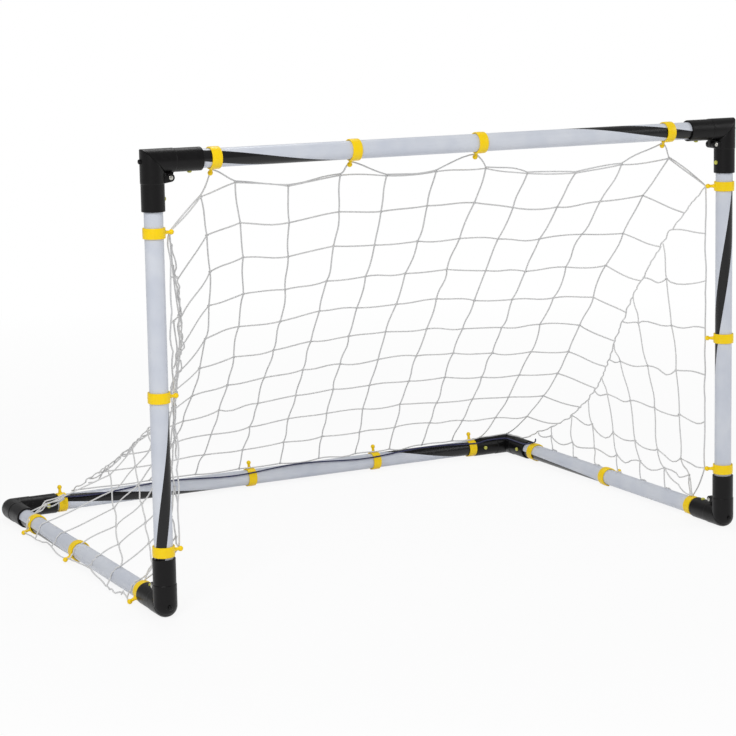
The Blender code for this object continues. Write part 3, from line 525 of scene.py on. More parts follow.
def socket_rows(length):
    """Rows of a socket's grid from the bottom of its bore over the mouth and down its outside.

    A row is a circle (r cos a, r sin a, h). Round the snap button at angle 0 the wall sinks by
    1.2 mm within 4.2 mm of the button's axis and rises back by 5.4 mm.
    """
    angle = np.arange(CORNER_COLUMNS) * 2 * np.pi / CORNER_COLUMNS
    mouth = rounded([
        (0.4 * BORE_RADIUS, TUBE_STOP), (BORE_RADIUS, TUBE_STOP), (BORE_RADIUS, length),
        (SOCKET_RADIUS, length), (SOCKET_RADIUS, length - 2 * BUTTON_INSET)], 0.8 * MM)[:-1]
    wall = np.linspace(length - 2 * MM, SOCKET_STEP + 2 * MM, 60)
    step = rounded([
        (SOCKET_RADIUS, SOCKET_STEP + 1.5 * MM), (SOCKET_RADIUS, SOCKET_STEP),
        (BODY_RADIUS, SOCKET_STEP - 0.5 * MM), (BODY_RADIUS, SOCKET_STEP - 4 * MM)], 0.5 * MM)
    outline = np.concatenate([mouth, np.stack([np.full(60, SOCKET_RADIUS), wall], 1), step])
    radius = np.repeat(outline[:, :1], CORNER_COLUMNS, axis=1)
    height = np.repeat(outline[:, 1:], CORNER_COLUMNS, axis=1)
    turn = (angle + np.pi) % (2 * np.pi) - np.pi
    away = np.hypot(turn[None] * SOCKET_RADIUS, height - (length - BUTTON_INSET))
    part = np.clip((5.4 * MM - away) / (1.2 * MM), 0, 1)
    sink = 1.2 * MM * part * part * (3 - 2 * part)
    radius = radius - np.where(radius > BORE_RADIUS + 2 * MM, sink, 0)
    return np.stack([radius * np.cos(angle), radius * np.sin(angle), height], axis=-1)


def body_rows(start, ball, gap, rows=10):
    """Rows from height `start` down to the mitre plane z = x, kept `gap` off it.

    A wall's line at angle a ends at z = R cos a. With `ball` the lines of the outer side turn at
    z = 0 on to a ball of radius R, down to its latitude atan(cos a).
    """
    angle = np.arange(CORNER_COLUMNS) * 2 * np.pi / CORNER_COLUMNS
    cos, sin = np.cos(angle), np.sin(angle)
    part = np.linspace(0, 1, rows)[:, None]
    clear = gap * math.sqrt(2)
    if not ball:
        height = start + (BODY_RADIUS * cos + clear - start) * part
        return BODY_RADIUS * np.stack(np.broadcast_arrays(cos, sin, height / BODY_RADIUS), axis=-1)
    low = np.minimum(np.arctan(cos) + clear / BODY_RADIUS, 0.0)
    outer = cos < 0
    full = np.where(outer, start - BODY_RADIUS * low, start - BODY_RADIUS * cos - clear)
    done = full * part
    height = np.maximum(start - done, np.where(outer, 0.0, BODY_RADIUS * cos + clear))
    latitude = np.where(outer, -np.maximum(done - start, 0.0) / BODY_RADIUS, 0.0)
    return np.stack([
        BODY_RADIUS * np.cos(latitude) * cos, BODY_RADIUS * np.cos(latitude) * sin,
        height + BODY_RADIUS * np.sin(latitude)], axis=-1)


def knuckle_outline():
    """Barrel round the hinge pin at the end of a tab that stands square on the socket, in local XZ."""
    turn = np.radians(np.linspace(80.0, -140.0, 31))
    barrel = HINGE_OFFSET + KNUCKLE_RADIUS * np.stack([np.cos(turn), np.sin(turn)], 1)
    root = CHAMBER_RADIUS + 1 * MM
    foot = np.array([(root, HINGE_OFFSET - 3 * MM), (root, HINGE_OFFSET + 9 * MM)])
    return np.concatenate([barrel, foot])


def corner_half(length, ball, outer_knuckles, flat=False):
    """Half of a folding corner: socket along local +Z, the other half along +X, hinge between them."""
    edge = 0.6 * MM
    half_gap = FIT / 2
    rows = [socket_rows(length), body_rows(SOCKET_STEP - 5 * MM, ball, half_gap + edge)]
    rim = body_rows(SOCKET_STEP - 5 * MM, ball, half_gap)[-1]
    inward = unit(-rim) * edge
    clear = np.array([-1.0, 0.0, 1.0]) / math.sqrt(2)
    rows.append((rim + inward * 0.3 + clear * edge * 0.3)[None])
    rows.append((rim + inward)[None])
    if outer_knuckles:
        angle = np.arange(CORNER_COLUMNS) * 2 * np.pi / CORNER_COLUMNS
        rows.append(((rim + inward) * CHAMBER_RADIUS / BODY_RADIUS)[None])
        rows.append(np.stack([CHAMBER_RADIUS * np.cos(angle), CHAMBER_RADIUS * np.sin(angle),
                              np.full(CORNER_COLUMNS, TUBE_STOP - 2 * MM)], axis=1)[None])
    else:
        rows.append((rim * 0.4)[None])
    grid = np.concatenate(rows)
    if flat:
        grid[..., 0] = np.maximum(grid[..., 0], -GROUND_Z)
    shapes = [skins(grid)]
    half_middle = MIDDLE_KNUCKLE / 2
    half_span = KNUCKLE_SPAN / 2
    spans = [(-half_middle, half_middle)]
    if outer_knuckles:
        spans = [(-half_span, -half_middle - FIT), (half_middle + FIT, half_span)]
    shapes += [plate(knuckle_outline(), low, high, 0.7 * MM) for low, high in spans]
    if not outer_knuckles:
        along = np.array([1.0, 1.0]) / math.sqrt(2)
        out = np.array([1.0, -1.0]) / math.sqrt(2)
        reach = [(-2, -6), (10, -6), (10, 6), (-2, 6)]
        tongue = np.array([(along * a + out * b) * MM for a, b in reach])
        shapes.append(plate(rounded(tongue, 2 * MM, 4, loop=True), -5.5 * MM, 5.5 * MM, 1 * MM))
    return joined(shapes)


def rear_elbow():
    """One-piece elbow with sockets along local +Z and +X, flat above and below.

    The leg along +X is the leg along +Z with x and z exchanged, so both share the mitre plane.
    """
    leg = np.concatenate([socket_rows(ELBOW_SOCKET), body_rows(SOCKET_STEP - 5 * MM, True, 0.0, 16)])
    other = leg[::-1][1:][..., [2, 1, 0]]
    grid = np.concatenate([leg, other])
    grid[..., 1] = np.clip(grid[..., 1], -GROUND_Z, GROUND_Z)
    return skins(grid)


TOP_POST_HALF = corner_half(TOP_POST_SOCKET, False, True)
TOP_BAR_HALF = corner_half(TOP_BAR_SOCKET, False, False)
BOTTOM_POST_HALF = corner_half(BOTTOM_POST_SOCKET, True, True)
BOTTOM_SIDE_HALF = corner_half(SIDE_SOCKET, True, False, flat=True)
REAR_ELBOW = rear_elbow()


def add_moulding(node, shape, body, origin, along, toward):
    """Black moulding in the place of its CAD node."""
    add_piece(f"moulded_{node}", moved(shape, placed(origin, along, toward)), BLACK_ABS,
              body, [node], sharp=40.0)


for side, x, inward in (("left", LEFT_X, X), ("right", RIGHT_X, -X)):
    top = np.array([x, FRONT_Y, TOP_Z])
    bottom = np.array([x, FRONT_Y, GROUND_Z])
    back = np.array([x, REAR_Y, GROUND_Z])
    add_moulding(f"top_{side}_post_socket", TOP_POST_HALF, "front_frame", top, -Z, inward)
    add_moulding(f"top_{side}_bar_socket", TOP_BAR_HALF, "front_frame", top, inward, -Z)
    add_moulding(f"bottom_{side}_post_socket", BOTTOM_POST_HALF, "front_frame", bottom, Z, Y)
    add_moulding(f"bottom_{side}_side_socket", BOTTOM_SIDE_HALF, "base", bottom, Y, Z)
    add_moulding(f"rear_{side}_elbow", REAR_ELBOW, "base", back, -Y, inward)


# Pins, latches and snap buttons

def dome(radius, foot, tip, crown, steps=8):
    """Outline from (radius, foot) up to a rounded tip on the axis: an ellipse of height `crown`."""
    turn = np.radians(np.linspace(0, 88, steps))
    return [(radius, foot)] + [(radius * math.cos(t), tip - crown * (1 - math.sin(t))) for t in turn]


def pin_shape():
    """Riveted hinge pin along local Z: a shank with a low domed head at each end."""
    seat = KNUCKLE_SPAN / 2 + FIT
    head = rounded([(3.7 * MM, seat), (3.7 * MM, seat + 0.9 * MM), (1.2 * MM, seat + 1.6 * MM)], 0.5 * MM)
    upper = np.concatenate([[(2.2 * MM, seat)], head])
    lower = upper[::-1] * np.array([1.0, -1.0])
    return turned(np.concatenate([lower, upper]), 32)


def latch_shape():
    """Latch button along local +Z with its flange behind the corner's wall."""
    seat = 12.6 * MM
    tip = BODY_RADIUS + LATCH_PROUD
    outline = [(0.2 * LATCH_RADIUS, seat - 2.6 * MM), (5.2 * MM, seat - 2.6 * MM), (5.2 * MM, seat)]
    outline = outline + dome(LATCH_RADIUS, seat, tip, 1.6 * MM)
    return turned(rounded(outline, 0.3 * MM, 2), 32)


def button_shape():
    """Snap button along local +X, riveted to a leaf spring that folds back along local Z."""
    seat = 13.3 * MM
    tip = SOCKET_RADIUS + BUTTON_PROUD
    outline = [(0.5 * MM, seat - 2.2 * MM), (5.8 * MM, seat - 2.2 * MM), (5.8 * MM, seat)]
    outline = outline + dome(BUTTON_RADIUS, seat, tip, 2.4 * MM)
    button = moved(turned(rounded(outline, 0.3 * MM, 2), 32), placed(np.zeros(3), X, Y))
    line = np.array([
        (11.1, -4.0), (11.1, 4.0), (5.6, 22.1), (0.0, 33.4), (-5.0, 31.0), (-9.0, 22.0), (-10.6, 3.4)])
    line = rounded(line * MM, 4 * MM, 5)
    along = unit(np.gradient(line, axis=0))
    across = np.stack([along[:, 1], -along[:, 0]], axis=1) * 0.35 * MM
    leaf = plate(np.concatenate([line + across, (line - across)[::-1]]), -3.5 * MM, 3.5 * MM, 0.15 * MM)
    return joined([button, leaf])


PIN = pin_shape()
LATCH = latch_shape()
BUTTON = button_shape()


def add_fastener(prefix, node, shape, material, body, origin, along, toward):
    """Small fastener in the place of its CAD node."""
    add_piece(f"{prefix}_{node}", moved(shape, placed(origin, along, toward)), material, body, [node])


for side, x, inward in (("left", LEFT_X, X), ("right", RIGHT_X, -X)):
    top = np.array([x, FRONT_Y, TOP_Z])
    bottom = np.array([x, FRONT_Y, GROUND_Z])
    back = np.array([x, REAR_Y, GROUND_Z])
    add_fastener("riveted", f"hinge_pin_top_{side}", PIN, ZINC, "front_frame",
                 top + (inward - Z) * HINGE_OFFSET, Y, X)
    add_fastener("riveted", f"hinge_pin_bottom_{side}", PIN, ZINC, "base",
                 bottom + (Y + Z) * HINGE_OFFSET, X, Y)
    for label, origin, along, toward in ((f"top_{side}", top, -inward, Y), (f"bottom_{side}", bottom, -Y, X)):
        node = f"latch_button_{label}"
        add_fastener("domed", node, LATCH, BLACK_ABS, node, origin, along, toward)
    for label, corner, along, toward, reach in (
            (f"crossbar_{side}", top, inward, -Z, TOP_BAR_SOCKET),
            (f"{side}_post_top", top, -Z, inward, TOP_POST_SOCKET),
            (f"{side}_post_bottom", bottom, Z, Y, BOTTOM_POST_SOCKET),
            (f"{side}_side_front", bottom, Y, Z, SIDE_SOCKET),
            (f"{side}_side_rear", back, -Y, inward, ELBOW_SOCKET),
            (f"rear_bar_{side}", back, inward, -Y, ELBOW_SOCKET)):
        node = f"snap_button_{label}"
        add_fastener("domed", node, BUTTON, BUTTON_PLASTIC, node,
                     corner + along * (reach - BUTTON_INSET), along, toward)


# Net rings

def ring_shape():
    """Clip-on ring round a tube along local Z, with a ball-ended lug along +X and a slot at +Y.

    The band's rounded section is carried round RING_TURN degrees and shrinks over 2.5 degrees at each
    end.
    """
    half = RING_WIDTH / 2
    middle = (RING_RADIUS + RING_OUTER) / 2
    section = rounded([
        (RING_RADIUS, -half), (RING_OUTER, -half), (RING_OUTER + 0.25 * MM, 0.0), (RING_OUTER, half),
        (RING_RADIUS, half), (RING_RADIUS, 0.0)], 0.9 * MM, 4, loop=True)
    fade = np.array([0.0, 0.4, 1.2, 2.5])
    turn = RING_START + np.concatenate([
        fade, np.linspace(5, RING_TURN - 5, 63), RING_TURN - fade[::-1]])
    share = np.concatenate([[0.55, 0.8, 0.93, 1.0], np.ones(63), [1.0, 0.93, 0.8, 0.55]])
    radius = middle + (section[None, :, 0] - middle) * share[:, None]
    height = section[None, :, 1] * (0.9 + 0.1 * share[:, None])
    angle = np.radians(turn)[:, None]
    band = skins(np.stack([radius * np.cos(angle), radius * np.sin(angle), height], axis=-1))
    ball_turn = np.radians(np.linspace(-50.0, 86.0, 12))
    ball_height = LUG_REACH + LUG_BALL_RADIUS * np.sin(ball_turn)
    ball = np.stack([LUG_BALL_RADIUS * np.cos(ball_turn), ball_height], axis=1)
    neck = rounded([
        (4.6 * MM, RING_RADIUS + 1 * MM), (4.6 * MM, RING_OUTER - 0.2 * MM),
        (LUG_RADIUS + 0.5 * MM, RING_OUTER + 1.6 * MM), (LUG_RADIUS, RING_OUTER + 6 * MM),
        tuple(ball[0])], 1.4 * MM, 5)
    lug = turned(np.concatenate([neck[:-1], ball]), 24)
    return joined([band, moved(lug, placed(np.zeros(3), X, Y))])


def between(parts, low, high):
    """Middles of rings at parts of the free tube from `low` to `high`."""
    first = low + RING_WIDTH / 2 + RING_END_GAP
    last = high - RING_WIDTH / 2 - RING_END_GAP
    return [first + (last - first) * part for part in parts]


def slanted(first, second, degrees):
    """Direction turned from `first` towards `second`."""
    return first * math.cos(math.radians(degrees)) + second * math.sin(math.radians(degrees))


# Most of these parts were worked out by a separate program from the rings' places in the photograph
CROSSBAR_RINGS = between((0.015, 0.285, 0.544, 0.962), LEFT_X + TOP_BAR_SOCKET, RIGHT_X - TOP_BAR_SOCKET)
LEFT_POST_RINGS = between((0.005, 0.468, 0.954), BOTTOM_POST_SOCKET, GOAL_HEIGHT - TOP_POST_SOCKET)
RIGHT_POST_RINGS = between((0.005, 0.456, 0.972), BOTTOM_POST_SOCKET, GOAL_HEIGHT - TOP_POST_SOCKET)
LEFT_SIDE_RINGS = between((0.0, 0.531, 0.917), SIDE_SOCKET, GOAL_DEPTH - ELBOW_SOCKET)
RIGHT_SIDE_RINGS = between((0.005, 0.504, 0.971), SIDE_SOCKET, GOAL_DEPTH - ELBOW_SOCKET)
REAR_RINGS = between((0.003, 0.440, 0.749, 1.0), LEFT_X + ELBOW_SOCKET, RIGHT_X - ELBOW_SOCKET)

# Directions of the lugs
CROSSBAR_LUG = slanted(-Z, Y, CROSSBAR_LUG_SLANT)
RIGHT_POST_LUG = slanted(-X, Y, RIGHT_LUG_SLANT)
LEFT_SIDE_LUG = slanted(-X, -Z, GROUND_LUG_SLANT)
RIGHT_SIDE_LUG = slanted(X, -Z, GROUND_LUG_SLANT)
RAISED_LUG = slanted(X, -Z, RAISED_LUG_SLANT)
REAR_LUG = slanted(Z, Y, REAR_LUG_SLANT)
REAR_MIDDLE = np.array([0.0, REAR_Y, GROUND_Z])
TOP_MIDDLE = np.array([0.0, FRONT_Y, TOP_Z])


def ring_row(label, body, places, along, lugs):
    """Rings of one tube as (node, body, middle, along, direction of its lug)."""
    return [(f"net_ring_{label}_{number}", body, place, along, lug)
            for number, (place, lug) in enumerate(zip(places, lugs), 1)]


RINGS = ring_row("crossbar", "front_frame", [TOP_MIDDLE + X * x for x in CROSSBAR_RINGS], X,
                 [CROSSBAR_LUG] * 4)
RINGS += ring_row("left_post", "front_frame", [
    np.array([LEFT_X, FRONT_Y, GROUND_Z + h]) for h in LEFT_POST_RINGS], Z, [X] * 3)
RINGS += ring_row("right_post", "front_frame", [
    np.array([RIGHT_X, FRONT_Y, GROUND_Z + h]) for h in RIGHT_POST_RINGS], -Z, [RIGHT_POST_LUG] * 3)
RINGS += ring_row("left_side", "base", [
    np.array([LEFT_X, FRONT_Y + d, GROUND_Z]) for d in LEFT_SIDE_RINGS], -Y, [LEFT_SIDE_LUG] * 3)
RINGS += ring_row("right_side", "base", [
    np.array([RIGHT_X, FRONT_Y + d, GROUND_Z]) for d in RIGHT_SIDE_RINGS], Y,
    [RIGHT_SIDE_LUG, RAISED_LUG, RIGHT_SIDE_LUG])
RINGS += ring_row("rear_bar", "base", [REAR_MIDDLE + X * x for x in REAR_RINGS], -X, [REAR_LUG] * 4)

RING = ring_shape()
for node, body, middle, along, lug in RINGS:
    shape = moved(RING, placed(middle, along, lug))
    add_piece(f"clipped_{node}", shape, YELLOW_PLASTIC, body, [node])


# Lacing cord

CORD_RADIUS = 1.5 * MM
CORD_ANGLE = 45.0
CORD_WAVE = 12.0
CORD_WAVE_LENGTH = 0.31
CORD_STEP = 36.0 * MM
CORD_BEND = 12.0 * MM


def lacing_route():
    """Cord along the rear bar's upper front, over the right elbow to a tail on the side tube."""
    start = LEFT_X + ELBOW_SOCKET
    stop = RIGHT_X - ELBOW_SOCKET
    count = round((stop - start) / CORD_STEP)
    x = np.linspace(start, stop, count + 1)
    angle = np.radians(CORD_ANGLE + CORD_WAVE * np.sin(2 * np.pi * (x - start) / CORD_WAVE_LENGTH))
    over_body = BODY_RADIUS + CORD_RADIUS + FIT
    radius = np.full(count + 1, RING_OUTER + CORD_RADIUS + FIT)
    radius[[0, -1]] = over_body
    along_bar = np.stack([x, REAR_Y - radius * np.sin(angle), GROUND_Z + radius * np.cos(angle)], axis=1)
    low = over_body * math.sin(math.radians(CORD_ANGLE))
    corner = np.array([RIGHT_X - low, REAR_Y - low, GROUND_Z + low])
    bend = [(-4, 0, 0), (-1, -1 / 12, 0), (-1 / 4, -5 / 12, 0), (0, -1, 0), (0, -4, 0)]
    rise = [(0.03, -0.11, 0.0), (0.22, -0.67, 0.14), (0.25, -1.0, 0.28), (0.11, -1.28, 0.5)]
    tail = np.array([RIGHT_X - low, REAR_Y - ELBOW_SOCKET, GROUND_Z + low]) + CORD_STEP * np.array(rise)
    return curve_through(np.concatenate([along_bar, corner + CORD_BEND * np.array(bend), tail]), 8)


lacing_path = lacing_route()
lacing = add_piece("braided_lacing_cord", swept(lacing_path, CORD_RADIUS, 16), NAVY_BRAID,
                   "base", ["lacing_cord"], sharp=60.0)


# Net. Places are across from the middle, back from the posts' axes and up from the side tubes' axes.
# A separate least-squares program worked out SHEET, SEAM and the eases from knots read by eye in the
# photograph. TOP_KNOTS and most of the left slack edge are other programs' results, rounded: places
# read in the photograph and carried on to an upright plane.

LEFT = -1
RIGHT = 1
STRAND_RADIUS = 1.4 * MM
KNOT_RADIUS = 2.35 * MM
NET_ROWS = 10
NET_SEED = 7
ORIGIN = np.array([0.0, FRONT_Y, GROUND_Z])
REST_HEIGHT = 22.5 * MM
POST_RINGS = {LEFT: LEFT_POST_RINGS, RIGHT: RIGHT_POST_RINGS}
POST_LUG_SLANT = {LEFT: 0.0, RIGHT: RIGHT_LUG_SLANT}
BEHIND_LUGS = 2.6 * MM

# Knots of the back's top edge: place across and drop below the crossbar's axis
TOP_KNOTS = np.array([
    (-480, 67), (-416, 47), (-317, 59), (-217, 46), (-126, 52), (-26, 50), (76, 50), (164, 64), (268, 69),
    (370, 59), (477, 53)]) * MM
TOP_BACK = 35.0 * MM
HANG_EASE = 1.76

# Control places of the back's sheet at its left, middle and right, from the head down to the rear bar
SHEET = np.array([
    [(-487, 35, 692), (-20, 35, 692), (470, 35, 692)],
    [(-340, 255, 422), (58, 303, 442), (395, 249, 421)],
    [(-303, 525, 185), (86, 541, 232), (600, 510, 199)],
    [(-288, 788.5, 22.5), (190, 788.5, 22.5), (573, 788.5, 22.5)]]) * MM
SHEET_EASE = 1.03

# Back seams below the posts' top lugs: control places and ease
SEAM = {LEFT: (np.array([(-382, 296, 327), (-328, 532, 191), (-456, 788.5, 22.5)]) * MM, 0.957),
        RIGHT: (np.array([(408, 270, 305), (622, 320, 174), (572, 720, 25)]) * MM, 1.257)}

# Random stray of the back's knots and of a twine's stretches, and how far the back's twines dip as a
# part of a stretch: columns, rows, the twine through the lugs and the one through the top knots
KNOT_STRAY = 1.5 * MM
TWINE_STRAY = 1.6 * MM
COLUMN_SAG = 0.012
ROW_SAG = 0.014
LUG_TWINE_SAG = 0.003
TOP_TWINE_SAG = 0.005

# Sides: how far back the first upright strand stands, their spacing and how far they lean forward
# per metre of height. Then where the rows end, as rows of the seam, and the left side's low row.
UPRIGHTS = {LEFT: (130.0 * MM, 95.0 * MM, 0.8), RIGHT: (106.0 * MM, 84.0 * MM, 0.0)}
UPRIGHT_COUNT = 9
ROW_ENDS = {LEFT: [0.94 * i for i in range(1, 9)], RIGHT: [1.4 * i + 0.1 for i in range(1, 7)] + [9.6]}
LOW_ROW_END = 8.6
LOW_ROW_START = 200.0 * MM
KNOT_CLEAR = 24.0 * MM
SEAM_REACH = 10.0 * MM

# The lowest full row's knots lie in line with its front place, and its twine starts at the tie by the
# side tube's front ring. Both are a little inside the tube's axis.
TIE_INSET = 2.0 * MM
LOW_FRONT_BACK = 48.0 * MM
LOW_FRONT_HEIGHT = {LEFT: 38.0 * MM, RIGHT: 62.0 * MM}
TIE_BACK = 94.0 * MM
TIE_HEIGHT = 21.0 * MM

# Sag that a side's rows grow towards from the top down, sag of its uprights and stray of its rows
SIDE_SLACK = {LEFT: (0.02, 0.015, TWINE_STRAY), RIGHT: (0.11, 0.02, 6.0 * MM)}

# Slack edge of each side, outside its tube: places back from the front corner and above ground
SLACK_EDGE = {
    LEFT: np.array([
        (105, 4), (127, 17), (136, 9), (166, 4), (192, 4), (221, 9), (285, 20), (368, 15), (419, 8),
        (520, 16), (580, 8), (644, 9)]) * MM,
    RIGHT: np.array([(93, 8), (150, 13), (240, 12), (398, 27), (520, 16), (600, 10), (687, 8)]) * MM}
SLACK_OUT = 26.0 * MM
OVER_TUBE_TURNS = (90.0, 60.0, 30.0, 5.0)

# Twines gathered along the left seam: the rows where they start, where they end, and their stray.
# Then how far each of three loops at the left rear corner is shifted.
BUNCH_STARTS = (0.7, 1.3)
BUNCH_END = 9.4
BUNCH_STRAY = 4.0 * MM
LOOP_SHIFTS = (-4.0 * MM, 0.0, 5.0 * MM)


def cubic(controls, v):
    """Cubic curve of four control places at v from 0 to 1."""
    v = np.asarray(v, float)[..., None]
    a, b, c, d = controls
    return a * (1 - v) ** 3 + b * 3 * v * (1 - v) ** 2 + c * 3 * v ** 2 * (1 - v) + d * v ** 3


def post_edge(side, height):
    """Net's edge at a height on a post, behind the balls of the post's lugs."""
    turn = math.radians(POST_LUG_SLANT[side])
    inside = LUG_REACH * math.cos(turn)
    back = LUG_REACH * math.sin(turn) + LUG_BALL_RADIUS + BEHIND_LUGS
    return np.array([side * (RIGHT_X - inside), back, height])


def seam_at(side, row):
    """Place on a back seam at a row, counted from 0 at the post's top lug to 10 at the rear."""
    controls, ease = SEAM[side]
    top = post_edge(side, POST_RINGS[side][-1])
    return cubic([top, *controls], (np.asarray(row, float) / NET_ROWS) ** ease)


def back_knots():
    """Knots of the back of the net, (column, row), with its seams as first and last column.

    The control places blend from left over middle to right as a parabola in u. Each column is then
    a cubic curve in v, and its top knot's offset from the sheet fades down it with (1 - v) to the
    power HANG_EASE.
    """
    u = np.linspace(0, 1, len(TOP_KNOTS))[:, None]
    rows = np.arange(NET_ROWS + 1)
    v = (rows / NET_ROWS) ** SHEET_EASE
    controls = [(left * (1 - u) * (1 - 2 * u) + middle * 4 * u * (1 - u) + right * u * (2 * u - 1))[:, None]
                for left, middle, right in SHEET]
    sheet = cubic(controls, v[None])
    depth = np.full(len(TOP_KNOTS), TOP_BACK)
    top = np.stack([TOP_KNOTS[:, 0], depth, GOAL_HEIGHT - TOP_KNOTS[:, 1]], axis=1)
    sheet = sheet + (top - sheet[:, 0])[:, None] * ((1 - v) ** HANG_EASE)[None, :, None]
    return np.concatenate([seam_at(LEFT, rows)[None], sheet, seam_at(RIGHT, rows)[None]])


def side_rows(side):
    """Rows of a side as (front end, seam end, knots by number of their upright).

    A row is straight, and its knots are where it meets the planes y = first + k spacing - lean z.
    """
    first, spacing, lean = UPRIGHTS[side]
    heights = POST_RINGS[side]
    ends = ROW_ENDS[side]
    inset = side * (RIGHT_X - TIE_INSET)
    rows = []
    for i, end in enumerate(ends, 1):
        front = post_edge(side, heights[-1] + (heights[0] - heights[-1]) * i / (len(ends) - 1))
        tie = front
        if i == len(ends):
            front = np.array([inset, LOW_FRONT_BACK, LOW_FRONT_HEIGHT[side]])
            tie = np.array([inset, TIE_BACK, TIE_HEIGHT])
        rows.append((front, seam_at(side, end), tie))
    if side == LEFT:
        front = np.array([LEFT_X, LOW_ROW_START, REST_HEIGHT])
        rows.append((front, seam_at(side, LOW_ROW_END), front))
    result = []
    for front, seam, tie in rows:
        run = seam - front
        k = np.arange(UPRIGHT_COUNT)
        part = (first + k * spacing - lean * front[2] - front[1]) / (run[1] + lean * run[2])
        near = KNOT_CLEAR / np.linalg.norm(run)
        keep = (part > near) & (part < 1 - near)
        result.append((tie, seam, dict(zip(k[keep].tolist(), front + run * part[keep][:, None]))))
    return result


def upright(side, k, places):
    """Places of upright k: from the seam, if it passes near, over its knots and over the side tube."""
    first, spacing, lean = UPRIGHTS[side]
    places = sorted(places, key=lambda place: -place[2])
    seam = seam_at(side, np.linspace(0, NET_ROWS, 201))
    gap = np.abs(seam[:, 1] + lean * seam[:, 2] - (first + k * spacing))
    gap = np.where(seam[:, 2] < places[0][2], np.inf, gap)
    if gap.min() < SEAM_REACH:
        places = [seam[gap.argmin()]] + places
    down = first + k * spacing - lean * REST_HEIGHT
    ends = over_tube(side, down)
    if down > SLACK_EDGE[side][-1, 0]:
        ends = ends[:1]
    return np.array([*places, *ends])


def over_tube(side, back):
    """Places of a twine over a side tube's outer face, down to the slack edge."""
    reach = TUBE_RADIUS + STRAND_RADIUS + FIT
    turns = np.radians(OVER_TUBE_TURNS)
    places = [(side * (RIGHT_X + reach * math.cos(t)), back, reach * math.sin(t)) for t in turns]
    edge = SLACK_EDGE[side]
    low = np.interp(back, edge[:, 0], edge[:, 1]) - GROUND_Z
    return np.array([*places, (side * (RIGHT_X + SLACK_OUT), back, low)])


def slack_path(points, rng, sag, stray=TWINE_STRAY, stations=7):
    """Twine through points: each stretch dips by sag x its length, with a seeded stray and S wave.

    point = a (1-t) + b t - 4 t (1-t) (dip down + stray) + sin(2 pi t) wave, with t from 0 to 1.
    """
    points = np.asarray(points, float)
    t = np.linspace(0, 1, stations)[None, :, None]
    first, second = points[:-1, None], points[1:, None]
    length = np.linalg.norm(second - first, axis=2, keepdims=True)
    dip = Z * sag * length * (0.6 + 0.8 * rng.random(length.shape))
    limit = np.minimum(stray, 0.06 * length)
    path = first * (1 - t) + second * t + 4 * t * (1 - t) * (rng.normal(0, 1, first.shape) * limit - dip)
    path = path + np.sin(2 * np.pi * t) * rng.normal(0, 0.5, first.shape) * limit
    return np.concatenate([path[:, :-1].reshape(-1, 3), points[-1:]])


def split(path, value):
    """Stretches of a path where `value` is below 0 and above 0, both ending where it is 0."""
    low, high = [], []
    start, sign = [path[0]], value[0] >= 0
    for i in range(1, len(path)):
        if (value[i] >= 0) != sign:
            meet = path[i - 1] + (path[i] - path[i - 1]) * value[i - 1] / (value[i - 1] - value[i])
            (high if sign else low).append(np.array(start + [meet]))
            start, sign = [meet], not sign
        start.append(path[i])
    (high if sign else low).append(np.array(start))
    return [part for part in low if len(part) > 1], [part for part in high if len(part) > 1]


def knot_lumps(places, rng):
    """Small knots: a ball of 8 by 5 points that swells in two opposite ridges, turned at random."""
    places = np.asarray(places, float).reshape(-1, 3)
    turn = np.arange(8) * 2 * np.pi / 8
    rise = np.radians(np.array([-62.0, -28.0, 0.0, 28.0, 62.0]))
    swell = KNOT_RADIUS * (1 + 0.28 * np.cos(2 * turn)[None] * np.cos(rise)[:, None])
    ball = np.stack([
        swell * np.cos(turn) * np.cos(rise)[:, None] * 1.15, swell * np.sin(turn) * np.cos(rise)[:, None],
        swell * np.sin(rise)[:, None] * 0.95], axis=-1)
    a, b = rng.random((2, len(places))) * 2 * np.pi
    zero, one = np.zeros_like(a), np.ones_like(a)
    spin = np.array([[np.cos(a), -np.sin(a), zero], [np.sin(a), np.cos(a), zero], [zero, zero, one]])
    tilt = np.array([[one, zero, zero], [zero, np.cos(b), -np.sin(b)], [zero, np.sin(b), np.cos(b)]])
    turns = np.einsum("ijn,jkn->nik", spin, tilt)
    return skins(np.einsum("nij,rcj->nrci", turns, ball) + places[:, None, None])


def net_piece(name, paths, knots, rng, nodes=()):
    """Piece of net from twine paths and knots, in the frame's own places."""
    shapes = [swept(path, STRAND_RADIUS, 6) for path in paths]
    if len(knots):
        shapes.append(knot_lumps(knots, rng))
    return add_piece(f"knotted_net_{name}", joined(shapes), NET_TWINE, None, nodes, sharp=80.0)


def follow(piece):
    """Piece with its place baked into its mesh."""
    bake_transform(piece)


def back_twines(hooks, rng):
    """Twines and knots of the back. Its knots stray at random, apart from those on its edges."""
    knots = back_knots() + ORIGIN
    shift = rng.normal(0, KNOT_STRAY, knots.shape)
    shift[:, [0, -1]] = 0
    shift[[0, -1]] = 0
    knots = knots + shift
    seams = [seam_at(side, np.linspace(0, NET_ROWS, 41)) + ORIGIN for side in (LEFT, RIGHT)]
    paths = [slack_path(line, rng, COLUMN_SAG) for line in (seams[0], *knots[1:-1], seams[1])]
    paths += [slack_path(knots[:, row], rng, ROW_SAG) for row in range(1, NET_ROWS + 1)]
    over = knots[:, 0] + Z * 2.5 * MM
    edge = [knots[0, 0], over[1], hooks["crossbar_1"], *over[2:5], hooks["crossbar_2"], *over[5:7],
            hooks["crossbar_3"], *over[7:11], hooks["crossbar_4"], over[11], knots[-1, 0]]
    paths.append(slack_path(edge, rng, LUG_TWINE_SAG))
    paths.append(slack_path(knots[:, 0], rng, TOP_TWINE_SAG))
    return paths, knots[1:-1].reshape(-1, 3)


